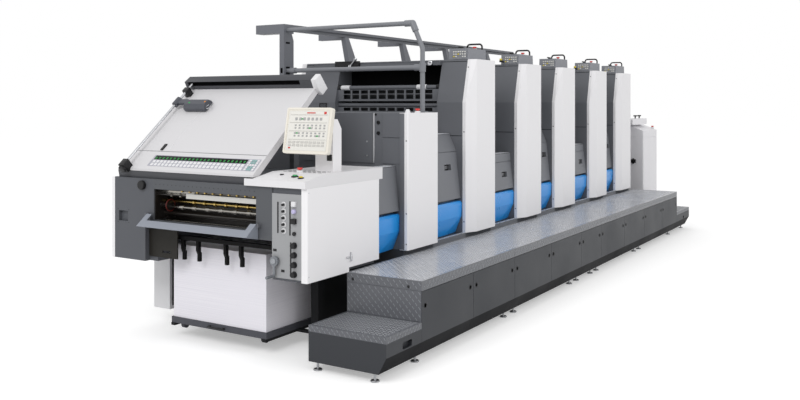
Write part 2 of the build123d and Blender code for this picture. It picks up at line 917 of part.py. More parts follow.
def overhead_rail():
    """Overhead rail of folded sheet, and the posts that carry it, each with an arm to the drive side."""
    arm_y = rail_y + rail_depth
    post_end = rail_start + first_post_width
    flange_low = rail_top - rail_flange
    web_low = flange_low - rail_web_height
    web_y = rail_y + rail_web_inset
    rail = along_x(
        [
            (rail_y, rail_top),
            (rail_y, flange_low),
            (web_y, flange_low),
            (web_y, web_low),
            (arm_y, web_low),
            (arm_y, rail_top),
        ],
        (post_end, rail_end),
    )
    head_end = rail_start + first_post_head
    post = along_y(
        [
            (rail_start, coater_top),
            (post_end, coater_top),
            (post_end, rail_bottom - post_head_taper),
            (head_end, rail_bottom),
            (post_end, rail_bottom),
            (post_end, rail_top),
            (rail_start, rail_top),
        ],
        (rail_y, arm_y),
    )
    post += block((rail_start, head_end), (arm_y, arm_y + rail_arm), (rail_bottom, rail_top))
    braces = [post]
    leaning = [
        (rail_y, web_low),
        (arm_y, web_low),
        (arm_y - brace_lean, tower_top),
        (rail_y - brace_lean, tower_top),
    ]
    for x in tower_places[:-1]:
        start = x + brace_offset
        head_span = (start, start + brace_head_width)
        widening = [
            (start, web_low),
            (head_span[1], web_low),
            (start + brace_foot_width, tower_top),
            (start, tower_top),
        ]
        leg = along_x(leaning, (start, start + brace_foot_width))
        leg &= along_y(widening, (rail_y - brace_lean, arm_y))
        arm = block(head_span, (arm_y, arm_y + rail_arm), (rail_bottom, rail_top))
        arm += block(head_span, (rail_y, arm_y), (rail_bottom, web_low))
        braces.append(leg.solid() + arm)
    return rail, braces


def delivery_shell():
    """Drive-side housing, operator-side housing, front plate and top plate of the delivery."""
    drive = block(
        (delivery_front, coater_start),
        (drive_box_inner, drive_shell_end),
        (delivery_bottom, delivery_top),
    )
    drive -= block(
        (delivery_front, delivery_front + drive_recess_depth),
        (drive_box_inner + drive_recess_y[0], drive_box_inner + drive_recess_y[1]),
        (delivery_bottom + drive_recess_z[0], delivery_bottom + drive_recess_z[1]),
    )
    drive -= block(
        (delivery_front, delivery_front + drive_notch[1]),
        (drive_box_inner, drive_box_inner + drive_notch[0]),
        (delivery_bottom, front_apron),
    )
    box_front = delivery_front + panel_thick
    operator = block(
        (box_front, operator_box_end),
        (side_panel_face + side_panel_thick, operator_box_inner),
        (side_panel_low, delivery_top),
    )
    front = block(
        (delivery_front, delivery_front + front_plate),
        (operator_box_inner, drive_box_inner),
        (front_apron, delivery_top),
    )
    front -= block((delivery_front, delivery_front + front_plate), window_y, window_z)
    top = block(
        (delivery_front + front_plate, coater_start),
        (operator_box_inner, drive_box_inner),
        (delivery_top - top_plate, delivery_top),
    )
    return drive, operator, front, top


def side_panels():
    """White side panels: the operator's is stepped up where it passes over the deck, with a round edge."""
    outline = [
        (delivery_front, side_panel_low),
        (notch_x, side_panel_low),
        (notch_x, side_panel_raised),
        (operator_box_end, side_panel_raised),
        (operator_box_end, delivery_top),
        (delivery_front, delivery_top),
    ]
    near = along_y(outline, (side_panel_face, side_panel_face + side_panel_thick))
    front_edges = near.edges().filter_by(Axis.Z).group_by(Axis.X)[0]
    near = fillet(front_edges.sort_by(Axis.Y)[0], side_panel_round)
    far_y = (drive_shell_end, body_far_y)
    return [near, block((delivery_front, coater_start), far_y, (delivery_bottom, delivery_top))]


def lift_bracket():
    """Slotted plate under the drive side's housing, where the pile's lift runs."""
    x = (delivery_front + drive_notch[1] - lift_bracket_thick, delivery_front + drive_notch[1])
    start = drive_box_inner - lift_bracket_reach
    plate = block(
        x,
        (start, drive_box_inner + drive_notch[0]),
        (delivery_bottom + lift_bracket_low, front_apron),
    )
    low = delivery_bottom + lift_bracket_low
    slot_y = (start + lift_slot_y[0], start + lift_slot_y[1])
    return plate - block(x, slot_y, (low + lift_slot_z[0], low + lift_slot_z[1]))


def gripper_bars():
    """Two gripper bars of the delivery chain, each with a row of gripper fingers."""
    bars = []
    centre_y = (operator_box_inner + drive_box_inner) / 2
    half = gripper_bar_size / 2
    first = centre_y - gripper_pitch * (gripper_count - 1) / 2
    for depth, height in gripper_bar_rows:
        bar_x = delivery_front + depth
        bar_z = window_z[0] + height
        bar = block(
            (bar_x - half, bar_x + half),
            (operator_box_inner, drive_box_inner),
            (bar_z - half, bar_z + half),
        )
        for number in range(gripper_count):
            y = first + number * gripper_pitch
            finger = [
                (bar_x - half, bar_z - half),
                (bar_x - half, bar_z),
                (bar_x - 1.6 * half, bar_z - 0.6 * half),
                (bar_x - 1.4 * half, bar_z - 1.8 * half),
                (bar_x - 0.6 * half, bar_z - 1.8 * half),
                (bar_x - 0.2 * half, bar_z - half),
            ]
            bar += along_y(finger, (y - half / 2, y + half / 2))
        bars.append(bar)
    return bars


def delivery_shafts():
    """Shafts across the delivery."""
    shafts = []
    for depth, height, radius in shaft_rows:
        x = delivery_front + depth
        z = window_z[0] + height
        shafts.append(rod((x, operator_box_inner, z), (x, drive_box_inner, z), radius))
    return shafts


def chain_wheel(y):
    """Toothed wheel that carries the delivery chain, bored for the first shaft."""
    depth, height, shaft_radius = shaft_rows[0]
    x = delivery_front + depth
    z = window_z[0] + height
    end = y + chain_wheel_thick
    wheel = rod((x, y, z), (x, end, z), chain_wheel_radius)
    tooth_gap = math.pi * chain_wheel_radius / chain_wheel_teeth / 2
    cuts = [rod((x, y, z), (x, end, z), shaft_radius + pin_clearance)]
    for number in range(chain_wheel_teeth):
        angle = 2 * math.pi * number / chain_wheel_teeth
        gap_x = x + chain_wheel_radius * math.cos(angle)
        gap_z = z + chain_wheel_radius * math.sin(angle)
        cuts.append(rod((gap_x, y, gap_z), (gap_x, end, gap_z), tooth_gap))
    return wheel - cuts


def chain_wheels():
    near = chain_wheel(operator_box_inner + chain_wheel_inset)
    far = chain_wheel(drive_box_inner - chain_wheel_inset - chain_wheel_thick)
    return [near, far]


def sheet_stops():
    """Four stop fingers that hang from a bar in front of the pile."""
    half = stop_bar_size / 2
    stops = block(
        (stop_bar_x - half, stop_bar_x + half),
        (operator_box_inner, drive_box_inner),
        (stop_bar_z - half, stop_bar_z + half),
    )
    tip_z = stop_bar_z - stop_drop
    bend_z = tip_z + stop_bend_height
    finger = [
        (stop_bar_x + half, stop_bar_z - half),
        (stop_bar_x + half, bend_z),
        (stop_bar_x + half + stop_thick, bend_z - stop_thick),
        (stop_bar_x + half + stop_thick, tip_z),
        (stop_bar_x, tip_z),
        (stop_bar_x, bend_z - 2 * stop_thick),
        (stop_bar_x - half, bend_z + stop_thick),
        (stop_bar_x - half, stop_bar_z - half),
    ]
    for offset in stop_offsets:
        y = pile_centre_y + offset
        stops += along_y(finger, (y - stop_width / 2, y + stop_width / 2))
    return stops


def paper_pile():
    """Stack of printed sheets."""
    return block(
        (pile_front, pile_front + paper_length),
        (pile_centre_y - paper_width / 2, pile_centre_y + paper_width / 2),
        (pile_bottom, pile_top),
    )


def castor(x, y, under):
    """Castor under the pile board: a fork and its wheel."""
    axle_z = under - castor_drop
    half = castor_width / 2
    horn = block(
        (x - castor_radius * 0.8, x + castor_radius * 0.8),
        (y - half - castor_fork_wall, y + half + castor_fork_wall),
        (axle_z, under),
    )
    return horn + rod((x, y - half, axle_z), (x, y + half, axle_z), castor_radius)


def pile_board():
    """Pile board on its four castors, with the two lifting forks and their cross bar under it."""
    x = (pile_front - board_margin, pile_front + paper_length + board_margin)
    y = (
        pile_centre_y - paper_width / 2 - board_margin,
        pile_centre_y + paper_width / 2 + board_margin,
    )
    under = pile_bottom - board_thick
    board = block(x, y, (under, pile_bottom))
    for castor_x in (x[0] + castor_inset, x[1] - castor_inset):
        for castor_y in (y[0] + castor_inset, y[1] - castor_inset):
            board += castor(castor_x, castor_y, under)
    fork_z = (under - fork_size, under)
    cross_bar = (guide_plate_y + runner_gap, far_guide_y - runner_gap)
    forks = block((post_x - fork_size, post_x + fork_size), cross_bar, fork_z)
    for fork_y in (y[0] + fork_size, y[1] - fork_size):
        fork_x = (x[0] - fork_lead, x[1] + fork_overhang)
        forks += block(fork_x, (fork_y - fork_size, fork_y + fork_size), fork_z)
    return board, forks


def guide_posts():
    """Posts that the pile's lifting chains run on, with the operator side's screen plate."""
    post_span = (post_x - post_width / 2, post_x + post_width / 2)
    near_y = guide_plate_y - guide_depth
    near = block(
        (post_span[0], guide_plate_end),
        (guide_plate_y - guide_plate_thick, guide_plate_y),
        (0, side_panel_low),
    )
    near += block(post_span, (near_y, guide_plate_y), (0, side_panel_low))
    far = block(post_span, (far_guide_y, far_guide_y + guide_depth), (0, delivery_bottom))
    drive_post = block(
        (post_x - drive_post_size / 2, post_x + drive_post_size / 2),
        (drive_post_y, drive_post_y + drive_post_size),
        (drive_post_bottom, delivery_bottom),
    )
    groove_x = post_x - drive_post_size / 2 + drive_post_groove_place
    drive_post -= block(
        (groove_x, groove_x + drive_post_groove),
        (drive_post_y, drive_post_y + drive_post_groove),
        (drive_post_bottom + drive_post_groove, delivery_bottom - drive_post_groove),
    )
    return [near, far], drive_post


def control_panel():
    """Light grey operating panel, with the bore for the crank's shaft."""
    panel_y = (side_panel_face + side_panel_thick, operator_box_inner)
    plate = block((delivery_front, delivery_front + panel_thick), panel_y, panel_z)
    bore = rod(
        (delivery_front, crank_y, crank_z),
        (delivery_front + panel_thick, crank_y, crank_z),
        crank_shaft_radius + pin_clearance,
    )
    return plate - bore


def panel_row(share):
    return panel_z[0] + share * panel_height


def panel_knobs():
    """Turning knobs and push buttons on the operating panel."""
    knobs = []
    for z in map(panel_row, big_knob_rows):
        collar_x = delivery_front - knob_collar
        collar_radius = big_knob_radius + knob_collar / 2
        knob = rod((collar_x, big_knob_y, z), (delivery_front, big_knob_y, z), collar_radius)
        knob += rod((collar_x - big_knob_length, big_knob_y, z), (collar_x, big_knob_y, z), big_knob_radius)
        knobs.append(knob)
    for z in map(panel_row, small_knob_rows):
        end = delivery_front - small_knob_length
        knobs.append(rod((end, small_knob_y, z), (delivery_front, small_knob_y, z), small_knob_radius))
    for z in map(panel_row, push_button_rows):
        end = delivery_front - push_button_length
        knobs.append(rod((end, big_knob_y, z), (delivery_front, big_knob_y, z), push_button_radius))
    y = drive_box_inner + housing_knob_y
    z = delivery_top - housing_knob_drop
    wheel = rod((delivery_front - housing_knob_length, y, z), (delivery_front, y, z), housing_knob_radius)
    outer_edge = wheel.edges().filter_by(GeomType.CIRCLE).sort_by(Axis.X)[0]
    knobs.append(fillet(outer_edge, knob_collar))
    return knobs


def crank():
    """Hand crank: disc, arm, grip, and the shaft that turns in the panel."""
    face = delivery_front - crank_gap
    disc_front = face - crank_disc_thick
    disc = rod((disc_front, crank_y, crank_z), (face, crank_y, crank_z), crank_disc_radius)
    tip_z = crank_z - crank_arm
    arm_x = (disc_front, disc_front + crank_disc_thick / 2)
    half = crank_arm_width / 2
    arm = block(arm_x, (crank_y - half, crank_y + half), (tip_z, crank_z))
    arm += rod((arm_x[0], crank_y, tip_z), (arm_x[1], crank_y, tip_z), half)
    grip_end = (arm_x[0] - crank_grip_length, crank_y, tip_z)
    grip = rod(grip_end, (arm_x[0], crank_y, tip_z), crank_grip_radius)
    shaft_end = (delivery_front + panel_thick, crank_y, crank_z)
    shaft = rod((face, crank_y, crank_z), shaft_end, crank_shaft_radius)
    return disc + arm + grip + shaft


def console():
    """Console slab with its sloping nose, and the box post that stands on it."""
    outline = [
        (console_front, delivery_top),
        (console_end, delivery_top),
        (console_end, console_top),
        (console_front + console_slope_run, console_top),
        (console_front, console_nose_top),
    ]
    slab = along_y(outline, (console_near_y, console_far_y))
    slab += block(
        (console_front, console_front + console_nose_depth),
        (console_far_y, console_nose_y),
        (delivery_top, console_nose_top),
    )
    post_outline = [
        (post_box_x[0], console_top),
        (post_box_x[1], console_top),
        (post_box_x[1], post_box_top - post_chamfer),
        (post_box_x[1] - post_chamfer_run, post_box_top),
        (post_box_x[0], post_box_top),
    ]
    post = along_y(post_outline, post_box_y)
    middle = (post_box_y[0] + post_box_y[1]) / 2
    inner = lug_width / 2 + ear_gap
    outer = inner + ear_thick
    ear_x = (pivot_x - lug_radius, post_box_x[0])
    for low, high in ((middle - outer, middle - inner), (middle + inner, middle + outer)):
        post += block(ear_x, (low, high), (pivot_z - ear_radius, pivot_z + ear_radius))
    post += rod((pivot_x, middle - outer, pivot_z), (pivot_x, middle + outer, pivot_z), pivot_radius)
    return slab, post


def monitor():
    """Tilting screen with the lug that turns on the post's pin."""
    middle = (post_box_y[0] + post_box_y[1]) / 2
    back = pivot_x - pivot_radius - pivot_standoff
    front = back - screen_thick
    half_width = screen_width / 2
    half_height = screen_height / 2
    case = block(
        (front, back),
        (screen_y - half_width, screen_y + half_width),
        (pivot_z - half_height, pivot_z + half_height),
    )
    case = fillet(case.edges().filter_by(Axis.X), screen_corner)
    case = chamfer(case.faces().sort_by(Axis.X)[-1].edges(), screen_back_bevel)
    glass_width = half_width - screen_edge
    glass_height = half_height - screen_edge
    case -= block(
        (front, front + screen_inset),
        (screen_y - glass_width, screen_y + glass_width),
        (pivot_z - glass_height, pivot_z + glass_height),
    )
    lug_y = (middle - lug_width / 2, middle + lug_width / 2)
    lug = block((back, pivot_x), lug_y, (pivot_z - lug_radius, pivot_z + lug_radius))
    lug += rod((pivot_x, lug_y[0], pivot_z), (pivot_x, lug_y[1], pivot_z), lug_radius)
    lug -= rod((pivot_x, lug_y[0], pivot_z), (pivot_x, lug_y[1], pivot_z), pivot_radius + pin_clearance)
    turn = Pos(pivot_x, 0, pivot_z) * Rot(0, screen_lean, 0) * Pos(-pivot_x, 0, -pivot_z)
    return turn * (case + lug)


def slope_point(along, lift):
    """Point on the desk's slope: a distance up it, and a height square to it."""
    return (
        desk_low[0] + along * math.cos(desk_angle) - lift * math.sin(desk_angle),
        desk_low[1] + along * math.sin(desk_angle) + lift * math.cos(desk_angle),
    )


def slope_block(along, lift, y):
    """Block that lies square to the desk's slope."""
    outline = [
        slope_point(along[0], lift[0]),
        slope_point(along[0], lift[1]),
        slope_point(along[1], lift[1]),
        slope_point(along[1], lift[0]),
    ]
    return along_y(outline, y)


def inspection_desk():
    """Sloping desk on a sill and two struts."""
    underside = slope_point(desk_length, -desk_thick)
    sill_top = delivery_top + sill_height
    toe_x, toe_z = slope_point(0, -desk_thick)
    cut_x = toe_x + (sill_top - toe_z) / math.tan(desk_angle)
    outline = [desk_low, desk_high, underside, (cut_x, sill_top), (desk_low[0], sill_top)]
    desk = along_y(outline, desk_y)
    sill = along_y(
        [
            (sill_x[0], delivery_top),
            (sill_x[1], delivery_top),
            (sill_x[1], sill_top),
            (sill_x[0] - sill_front_lean, sill_top),
        ],
        sill_y,
    )
    leg = [(strut_x[0], delivery_top), (strut_x[1], delivery_top)]
    leg += [(x, toe_z + (x - toe_x) * math.tan(desk_angle)) for x in strut_x[::-1]]
    struts = [along_y(leg, (y - strut_width / 2, y + strut_width / 2)) for y in strut_places]
    return desk, sill, struts


def desk_hood():
    """Hood along the desk's top, slotted for the travelling scanner."""
    hood = along_y([(desk_high[0] + x, desk_high[1] + z) for x, z in hood_outline], hood_y)
    hood -= slope_block((0, desk_length), (-desk_thick, 0), hood_y)
    slot_along = (desk_length + hood_slot_reach[0], desk_length + hood_slot_reach[1])
    slot_lift = (scan_rail_lift - hood_slot_half, scan_rail_lift + hood_slot_half)
    return hood - slope_block(slot_along, slot_lift, hood_slot_y)


def scan_rod(start, end, radius):
    """Round bar along the scanner's rail, between two distances up the desk."""
    low_x, low_z = slope_point(start, scan_rail_lift)
    high_x, high_z = slope_point(end, scan_rail_lift)
    return rod((low_x, scanner_rest_y, low_z), (high_x, scanner_rest_y, high_z), radius)


def scanner_rail():
    """Rail across the desk's slope, on a carriage at its foot and a bearer at its head."""
    rail = scan_rod(carriage_foot, desk_length + rail_past_top, scan_rail_radius)
    y = (scanner_rest_y - carriage_width / 2, scanner_rest_y + carriage_width / 2)
    outer = -carriage_gap - carriage_foot - carriage_wall
    top = scan_rail_lift + carriage_height
    rail += slope_block((outer, carriage_length), (carriage_gap, top), y)
    rail += slope_block((outer, -carriage_gap - carriage_foot), (-carriage_side, carriage_gap), y)
    bearer = (desk_length - bearer_from_top[0], desk_length - bearer_from_top[1])
    return rail + slope_block(bearer, (carriage_gap, top), y)


def scanner_head():
    """Reading head that slides along the rail."""
    place = desk_length - bush_from_top
    body = [
        slope_point(place - head_depth, head_gap),
        slope_point(place - head_depth, head_height * 0.6),
        slope_point(place - head_depth * 0.7, head_height),
        slope_point(place - head_depth * 0.2, head_height),
        slope_point(place, head_height * 0.5),
        slope_point(place, head_gap),
    ]
    far = scanner_rest_y - head_offset
    head = along_y(body, (far - head_length, far))
    arm_along = (place - bush_length + head_arm_half, place - head_arm_half)
    arm_lift = (scan_rail_lift - head_arm_half, scan_rail_lift + head_arm_half)
    head += slope_block(arm_along, arm_lift, (far, scanner_rest_y))
    head += scan_rod(place - bush_length, place, bush_radius)
    return head - scan_rod(place - bush_length, place, scan_rail_radius + pin_clearance)


def guard_hinge():
    """Lugs on the front plate, each with the pin that the moving guard swings on."""
    hinges = []
    for side, y in ((-1, guard_y[0]), (1, guard_y[1])):
        inner = y + side * guard_gap
        outer = inner + side * guard_lug_thick
        lug = block(
            (guard_pivot_x - guard_lug_height / 2, delivery_front),
            (min(inner, outer), max(inner, outer)),
            (guard_pivot_z - guard_lug_height / 2, guard_pivot_z + guard_lug_height / 2),
        )
        pin_start = (guard_pivot_x, outer, guard_pivot_z)
        pin_end = (guard_pivot_x, y - side * guard_sheet, guard_pivot_z)
        hinges.append(lug + rod(pin_start, pin_end, guard_pin_radius))
    return hinges


def moving_guard():
    """Sheet-metal guard that swings up: two cheeks, a sloping frame round an opening, and a floor."""
    wall = delivery_front - guard_clearance
    tip_x = delivery_front - guard_reach
    eye = wall - guard_pivot_x
    reach = math.hypot(guard_pivot_x - tip_x, guard_pivot_z - guard_tip_z)
    down = math.atan2(guard_tip_z - guard_pivot_z, tip_x - guard_pivot_x)
    tangent = down - math.acos(eye / reach)
    top = (guard_pivot_x + eye * math.cos(tangent), guard_pivot_z + eye * math.sin(tangent))
    slope = (top[1] - guard_tip_z) / (top[0] - tip_x)
    cheek = [
        top,
        (guard_pivot_x, guard_pivot_z),
        (wall, guard_pivot_z),
        (wall, front_apron),
        (tip_x, guard_tip_z),
    ]
    near = (guard_y[0], guard_y[0] + guard_sheet)
    far = (guard_y[1] - guard_sheet, guard_y[1])
    thick = guard_sheet * math.hypot(1, slope)
    foot_point = (tip_x + guard_sheet, guard_tip_z)
    lip_x = tip_x + guard_flange
    lip_z = guard_tip_z + guard_flange * slope
    guard = along_y([(tip_x, guard_tip_z), (lip_x, lip_z), (lip_x, lip_z - thick), foot_point], guard_y)
    side = [(tip_x, guard_tip_z), top, (top[0], top[1] - thick), foot_point]
    guard += along_y(side, (guard_y[0], guard_y[0] + guard_flange))
    guard += along_y(side, (guard_y[1] - guard_flange, guard_y[1]))
    floor = [
        (tip_x, guard_tip_z),
        (wall, front_apron),
        (wall, front_apron + guard_sheet),
        (tip_x + guard_sheet, guard_tip_z + guard_sheet * 0.3),
    ]
    guard += along_y(floor, guard_y)
    for low, high in (near, far):
        start = (guard_pivot_x, low, guard_pivot_z)
        end = (guard_pivot_x, high, guard_pivot_z)
        guard += along_y(cheek, (low, high)) + rod(start, end, eye)
        guard -= rod(start, end, guard_pin_radius + pin_clearance)
    return guard


def feeder_post():
    """Side post with rounded corners, a sloping top and the seam of its lid."""
    outline = [
        (feeder_near_y, 0),
        (feeder_inner, 0),
        (feeder_inner, feeder_post_high),
        (feeder_near_y, feeder_post_low),
    ]
    post = along_x(outline, (feeder_start, feeder_end))
    post = fillet(post.edges().filter_by(Axis.Z).group_by(Axis.Y)[0], feeder_post_round)
    seam_z = feeder_post_low - feeder_lid_seam
    ring = block((feeder_start, feeder_end), (feeder_near_y, feeder_inner), (seam_z - feeder_seam, seam_z))
    core = block(
        (feeder_start + feeder_seam, feeder_end - feeder_seam),
        (feeder_near_y + feeder_seam, feeder_inner - feeder_seam),
        (seam_z - feeder_seam, seam_z),
    )
    return post - (ring - core)


def feeder_wheel():
    """Star wheel on the near post's delivery side."""
    y = feeder_near_y + feeder_wheel_y
    stem_x = feeder_start - feeder_wheel_stem
    wheel_x = stem_x - feeder_wheel_thick
    wheel = rod((wheel_x, y, feeder_wheel_z), (stem_x, y, feeder_wheel_z), feeder_wheel_radius)
    bite = feeder_wheel_radius * math.sin(math.pi / feeder_wheel_lobes) / 2
    bites = []
    for number in range(feeder_wheel_lobes):
        angle = 2 * math.pi * number / feeder_wheel_lobes
        bite_y = y + feeder_wheel_radius * math.cos(angle)
        bite_z = feeder_wheel_z + feeder_wheel_radius * math.sin(angle)
        bites.append(rod((wheel_x, bite_y, bite_z), (stem_x, bite_y, bite_z), bite))
    stem = rod((stem_x, y, feeder_wheel_z), (feeder_start, y, feeder_wheel_z), feeder_wheel_stem)
    return wheel - bites + stem


def feeder_frame():
    """Feeder's two side posts, joined by two sills and a bridge."""
    near = feeder_post()
    across = (feeder_inner, other_side(feeder_inner))
    sill_z = (0, feeder_board_z - feeder_board_thick)
    bridge_x = (feeder_start + feeder_beam_x[0], feeder_start + feeder_beam_x[1])
    bridge_z = (feeder_post_high - feeder_beam_drop[0], feeder_post_high - feeder_beam_drop[1])
    beams = [
        block((feeder_start, feeder_start + feeder_sill), across, sill_z),
        block((feeder_end - feeder_sill, feeder_end), across, sill_z),
        block(bridge_x, across, bridge_z),
    ]
    return [near, mirrored(near)], beams


def feeder_pile():
    """Blank sheets waiting in the feeder, on their board."""
    start = feeder_start + feeder_pile_start
    y = (body_centre_y - paper_width / 2, body_centre_y + paper_width / 2)
    board = block(
        (feeder_start, feeder_end),
        (y[0] - board_margin, y[1] + board_margin),
        (feeder_board_z - feeder_board_thick, feeder_board_z),
    )
    end = start + paper_length - feeder_pile_short
    return board, block((start, end), y, (feeder_board_z, feeder_pile_top))


def feeder_head():
    """Suction head's housing on the near post, with its adjusting knobs, and the head over the pile."""
    box_x = (feeder_start + feeder_box_x[0], feeder_start + feeder_box_x[1])
    box_y = (feeder_near_y + feeder_box_y[0], feeder_near_y + feeder_box_y[1])
    top = feeder_post_high + feeder_box_height
    box = block(box_x, box_y, (feeder_post_high, top))
    box = fillet(box.edges().filter_by(Axis.Y), feeder_box_corner)
    bridge_x = (feeder_start + feeder_beam_x[0], feeder_start + feeder_beam_x[1])
    bridge_top = feeder_post_high - feeder_beam_drop[1]
    box += block(bridge_x, (feeder_inner, box_y[1]), (bridge_top, feeder_post_high + feeder_box_height / 2))
    middle = (box_y[0] + box_y[1]) / 2
    stem_top = top + feeder_stem_height
    for place in feeder_knob_places:
        x = feeder_start + place
        box += rod((x, middle, top), (x, middle, stem_top), feeder_stem_radius)
        box += rod((x, middle, stem_top), (x, middle, stem_top + feeder_knob_height), feeder_knob_radius)
    head = block(
        bridge_x,
        (body_centre_y - suction_half_width, body_centre_y + suction_half_width),
        (feeder_pile_top + suction_over_pile, feeder_post_high - feeder_beam_drop[0]),
    )
    return box, head


def feed_board():
    """Sloping table that carries sheets from the feeder down to the last unit."""
    bridge_x = feeder_start + feeder_beam_x[0]
    high = feeder_post_high - feeder_beam_drop[0] - feed_board_drop
    outline = [
        (last_tower_end, feed_board_low),
        (bridge_x, high),
        (bridge_x, high + feed_board_thick),
        (last_tower_end, feed_board_low + feed_board_thick),
    ]
    return along_y(outline, feed_board_y)


parts = {}
parts["platform_deck"] = platform_deck()
parts["platform_doors"] = platform_doors()
parts["platform_ribs"], parts["platform_rails"] = platform_ribs_and_rails()
parts["platform_feet"] = platform_feet()
parts["end_steps"], parts["step_treads"] = end_steps()
parts["machine_base"] = [machine_base()]
parts["unit_bodies"] = [unit_body(place) for place in tower_places]
parts["unit_guards"] = [piece for place in tower_places for piece in unit_guards(place)]
parts["unit_rollers"] = [roller for place in tower_places for roller in unit_rollers(place)]
parts["tower_covers"] = [tower_cover(place) for place in tower_places]
parts["drive_covers"] = [mirrored(tower_cover(place)) for place in tower_places]
parts["unit_caps"] = [unit_cap(place) for place in tower_places]
parts["cap_bails"] = [cap_bail(place) for place in tower_places]
parts["key_panels"] = [key_panel(place) for place in tower_places]
parts["stop_bases"], parts["stop_buttons"] = stop_buttons()
parts["gap_covers"] = gap_covers()
parts["gap_treads"] = gap_treads()
parts["blue_fenders"] = blue_fenders()
coating_body, coating_cover = coating_unit()
parts["coating_body"] = [coating_body]
parts["coating_cover"] = [coating_cover]
parts["guard_arch"] = [guard_arch()]
overhead, braces = overhead_rail()
parts["overhead_rail"] = [overhead]
parts["rail_braces"] = braces
drive_housing, operator_housing, front_frame, top_cover = delivery_shell()
parts["drive_housing"] = [drive_housing]
parts["operator_housing"] = [operator_housing]
parts["delivery_front"] = [front_frame]
parts["delivery_cover"] = [top_cover]
parts["side_panel"] = side_panels()
parts["lift_bracket"] = [lift_bracket()]
parts["gripper_bars"] = gripper_bars()
parts["delivery_shafts"] = delivery_shafts()
parts["chain_wheels"] = chain_wheels()
parts["sheet_stops"] = [sheet_stops()]
parts["paper_pile"] = [paper_pile()]
board, forks = pile_board()
parts["pile_board"] = [board]
parts["lifting_forks"] = [forks]
parts["guide_posts"], drive_post = guide_posts()
parts["drive_post"] = [drive_post]
parts["control_panel"] = [control_panel()]
parts["panel_knobs"] = panel_knobs() + [feeder_wheel()]
parts["crank"] = [crank()]
console_slab, console_post = console()
parts["console_top"] = [console_slab]
parts["console_post"] = [console_post]
parts["monitor"] = [monitor()]
desk, sill, struts = inspection_desk()
parts["inspection_desk"] = [desk]
parts["desk_supports"] = [sill] + struts
parts["desk_hood"] = [desk_hood()]
parts["scanner_rail"] = [scanner_rail()]
parts["scanner_head"] = [scanner_head()]
parts["guard_hinges"] = guard_hinge()
parts["moving_guard"] = [moving_guard()]
parts["feeder_posts"], parts["feeder_beams"] = feeder_frame()
feeder_board, blank_sheets = feeder_pile()
parts["feeder_board"] = [feeder_board]
parts["feeder_pile"] = [blank_sheets]
head_box, suction_head = feeder_head()
parts["feeder_head"] = [head_box, suction_head]
parts["feed_board"] = [feed_board()]

boxes = [solid.bounding_box() for solids in parts.values() for solid in solids]
middle_x = (min(box.min.X for box in boxes) + max(box.max.X for box in boxes)) / 2
middle_y = (min(box.min.Y for box in boxes) + max(box.max.Y for box in boxes)) / 2
shift = Pos(-middle_x, -middle_y, -min(box.min.Z for box in boxes))
print("moved by", shift.position)
os.makedirs("parts", exist_ok=True)
for name, solids in parts.items():
    export_step(Compound(children=[shift * s for s in solids]), f"parts/{name}.step")
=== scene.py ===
"""A five-unit offset printing press, dressed for a studio picture and assembled from the platform upwards."""
import math

import bpy
from mathutils import Matrix, Vector


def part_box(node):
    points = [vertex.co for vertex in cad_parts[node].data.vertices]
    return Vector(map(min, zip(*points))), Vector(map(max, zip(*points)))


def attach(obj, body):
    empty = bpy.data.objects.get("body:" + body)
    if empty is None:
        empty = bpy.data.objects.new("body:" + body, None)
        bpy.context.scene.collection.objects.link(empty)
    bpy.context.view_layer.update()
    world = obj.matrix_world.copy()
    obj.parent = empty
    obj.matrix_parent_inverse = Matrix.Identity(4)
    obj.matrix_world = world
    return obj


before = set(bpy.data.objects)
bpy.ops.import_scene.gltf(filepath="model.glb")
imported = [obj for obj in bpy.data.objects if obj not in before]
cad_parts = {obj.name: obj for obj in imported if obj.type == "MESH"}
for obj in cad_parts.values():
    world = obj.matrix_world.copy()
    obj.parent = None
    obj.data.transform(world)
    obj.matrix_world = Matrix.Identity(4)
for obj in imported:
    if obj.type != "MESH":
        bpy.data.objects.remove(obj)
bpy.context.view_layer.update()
bpy.ops.object.select_all(action="DESELECT")

# Studio
# The press stands on a pale floor in front of a white backdrop. Two broad soft lamps light it from the
# operator's side and from the delivery, and the backdrop's own light fills the rest.
camera_place = (-4173.8, -2425.1, 1486.6)
camera_heading = 31.603
focal_pixels = 859.34
frame_width = 800
horizon_above_centre = 97.19
film_width = 36
view_reach = 200
ambient_strength = 0.8
lamps = (
    ("key_lamp", (1200, -7800, 5200), (7.0, 3.2), 140),
    ("fill_lamp", (-6200, 300, 5800), (4.5, 3.0), 230),
)
lamp_aim = (2400, 900, 800)
floor_glow = 0.36
floor_shade = 0.8
floor_width = 120
deck_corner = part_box("platform_deck")[0]
floor_corner = Vector((deck_corner[0], deck_corner[1], 0))


def spot(x, y, z):
    """Point in metres, from millimetres along the deck, in from its outer face, and up from the floor."""
    return floor_corner + Vector((x, y, z)) / 1000


def added(tree, kind, inputs, operation=None):
    """New shader node, each input set to a plain value or joined to another node's socket."""
    node = tree.nodes.new("ShaderNode" + kind)
    if operation:
        node.operation = operation
    if kind == "Mix":
        node.data_type = "RGBA"
    for place, value in inputs.items():
        if isinstance(value, bpy.types.NodeSocket):
            tree.links.new(value, node.inputs[place])
        else:
            node.inputs[place].default_value = value
    return node


def background_rays(tree):
    """One for what the camera sees directly, in gloss or through glass, and nought for light on the press."""
    path = tree.nodes.new("ShaderNodeLightPath").outputs
    direct = added(tree, "Math", {0: path["Is Camera Ray"], 1: path["Is Glossy Ray"]}, "MAXIMUM")
    return added(tree, "Math", {0: direct.outputs[0], 1: path["Is Transmission Ray"]}, "MAXIMUM").outputs[0]


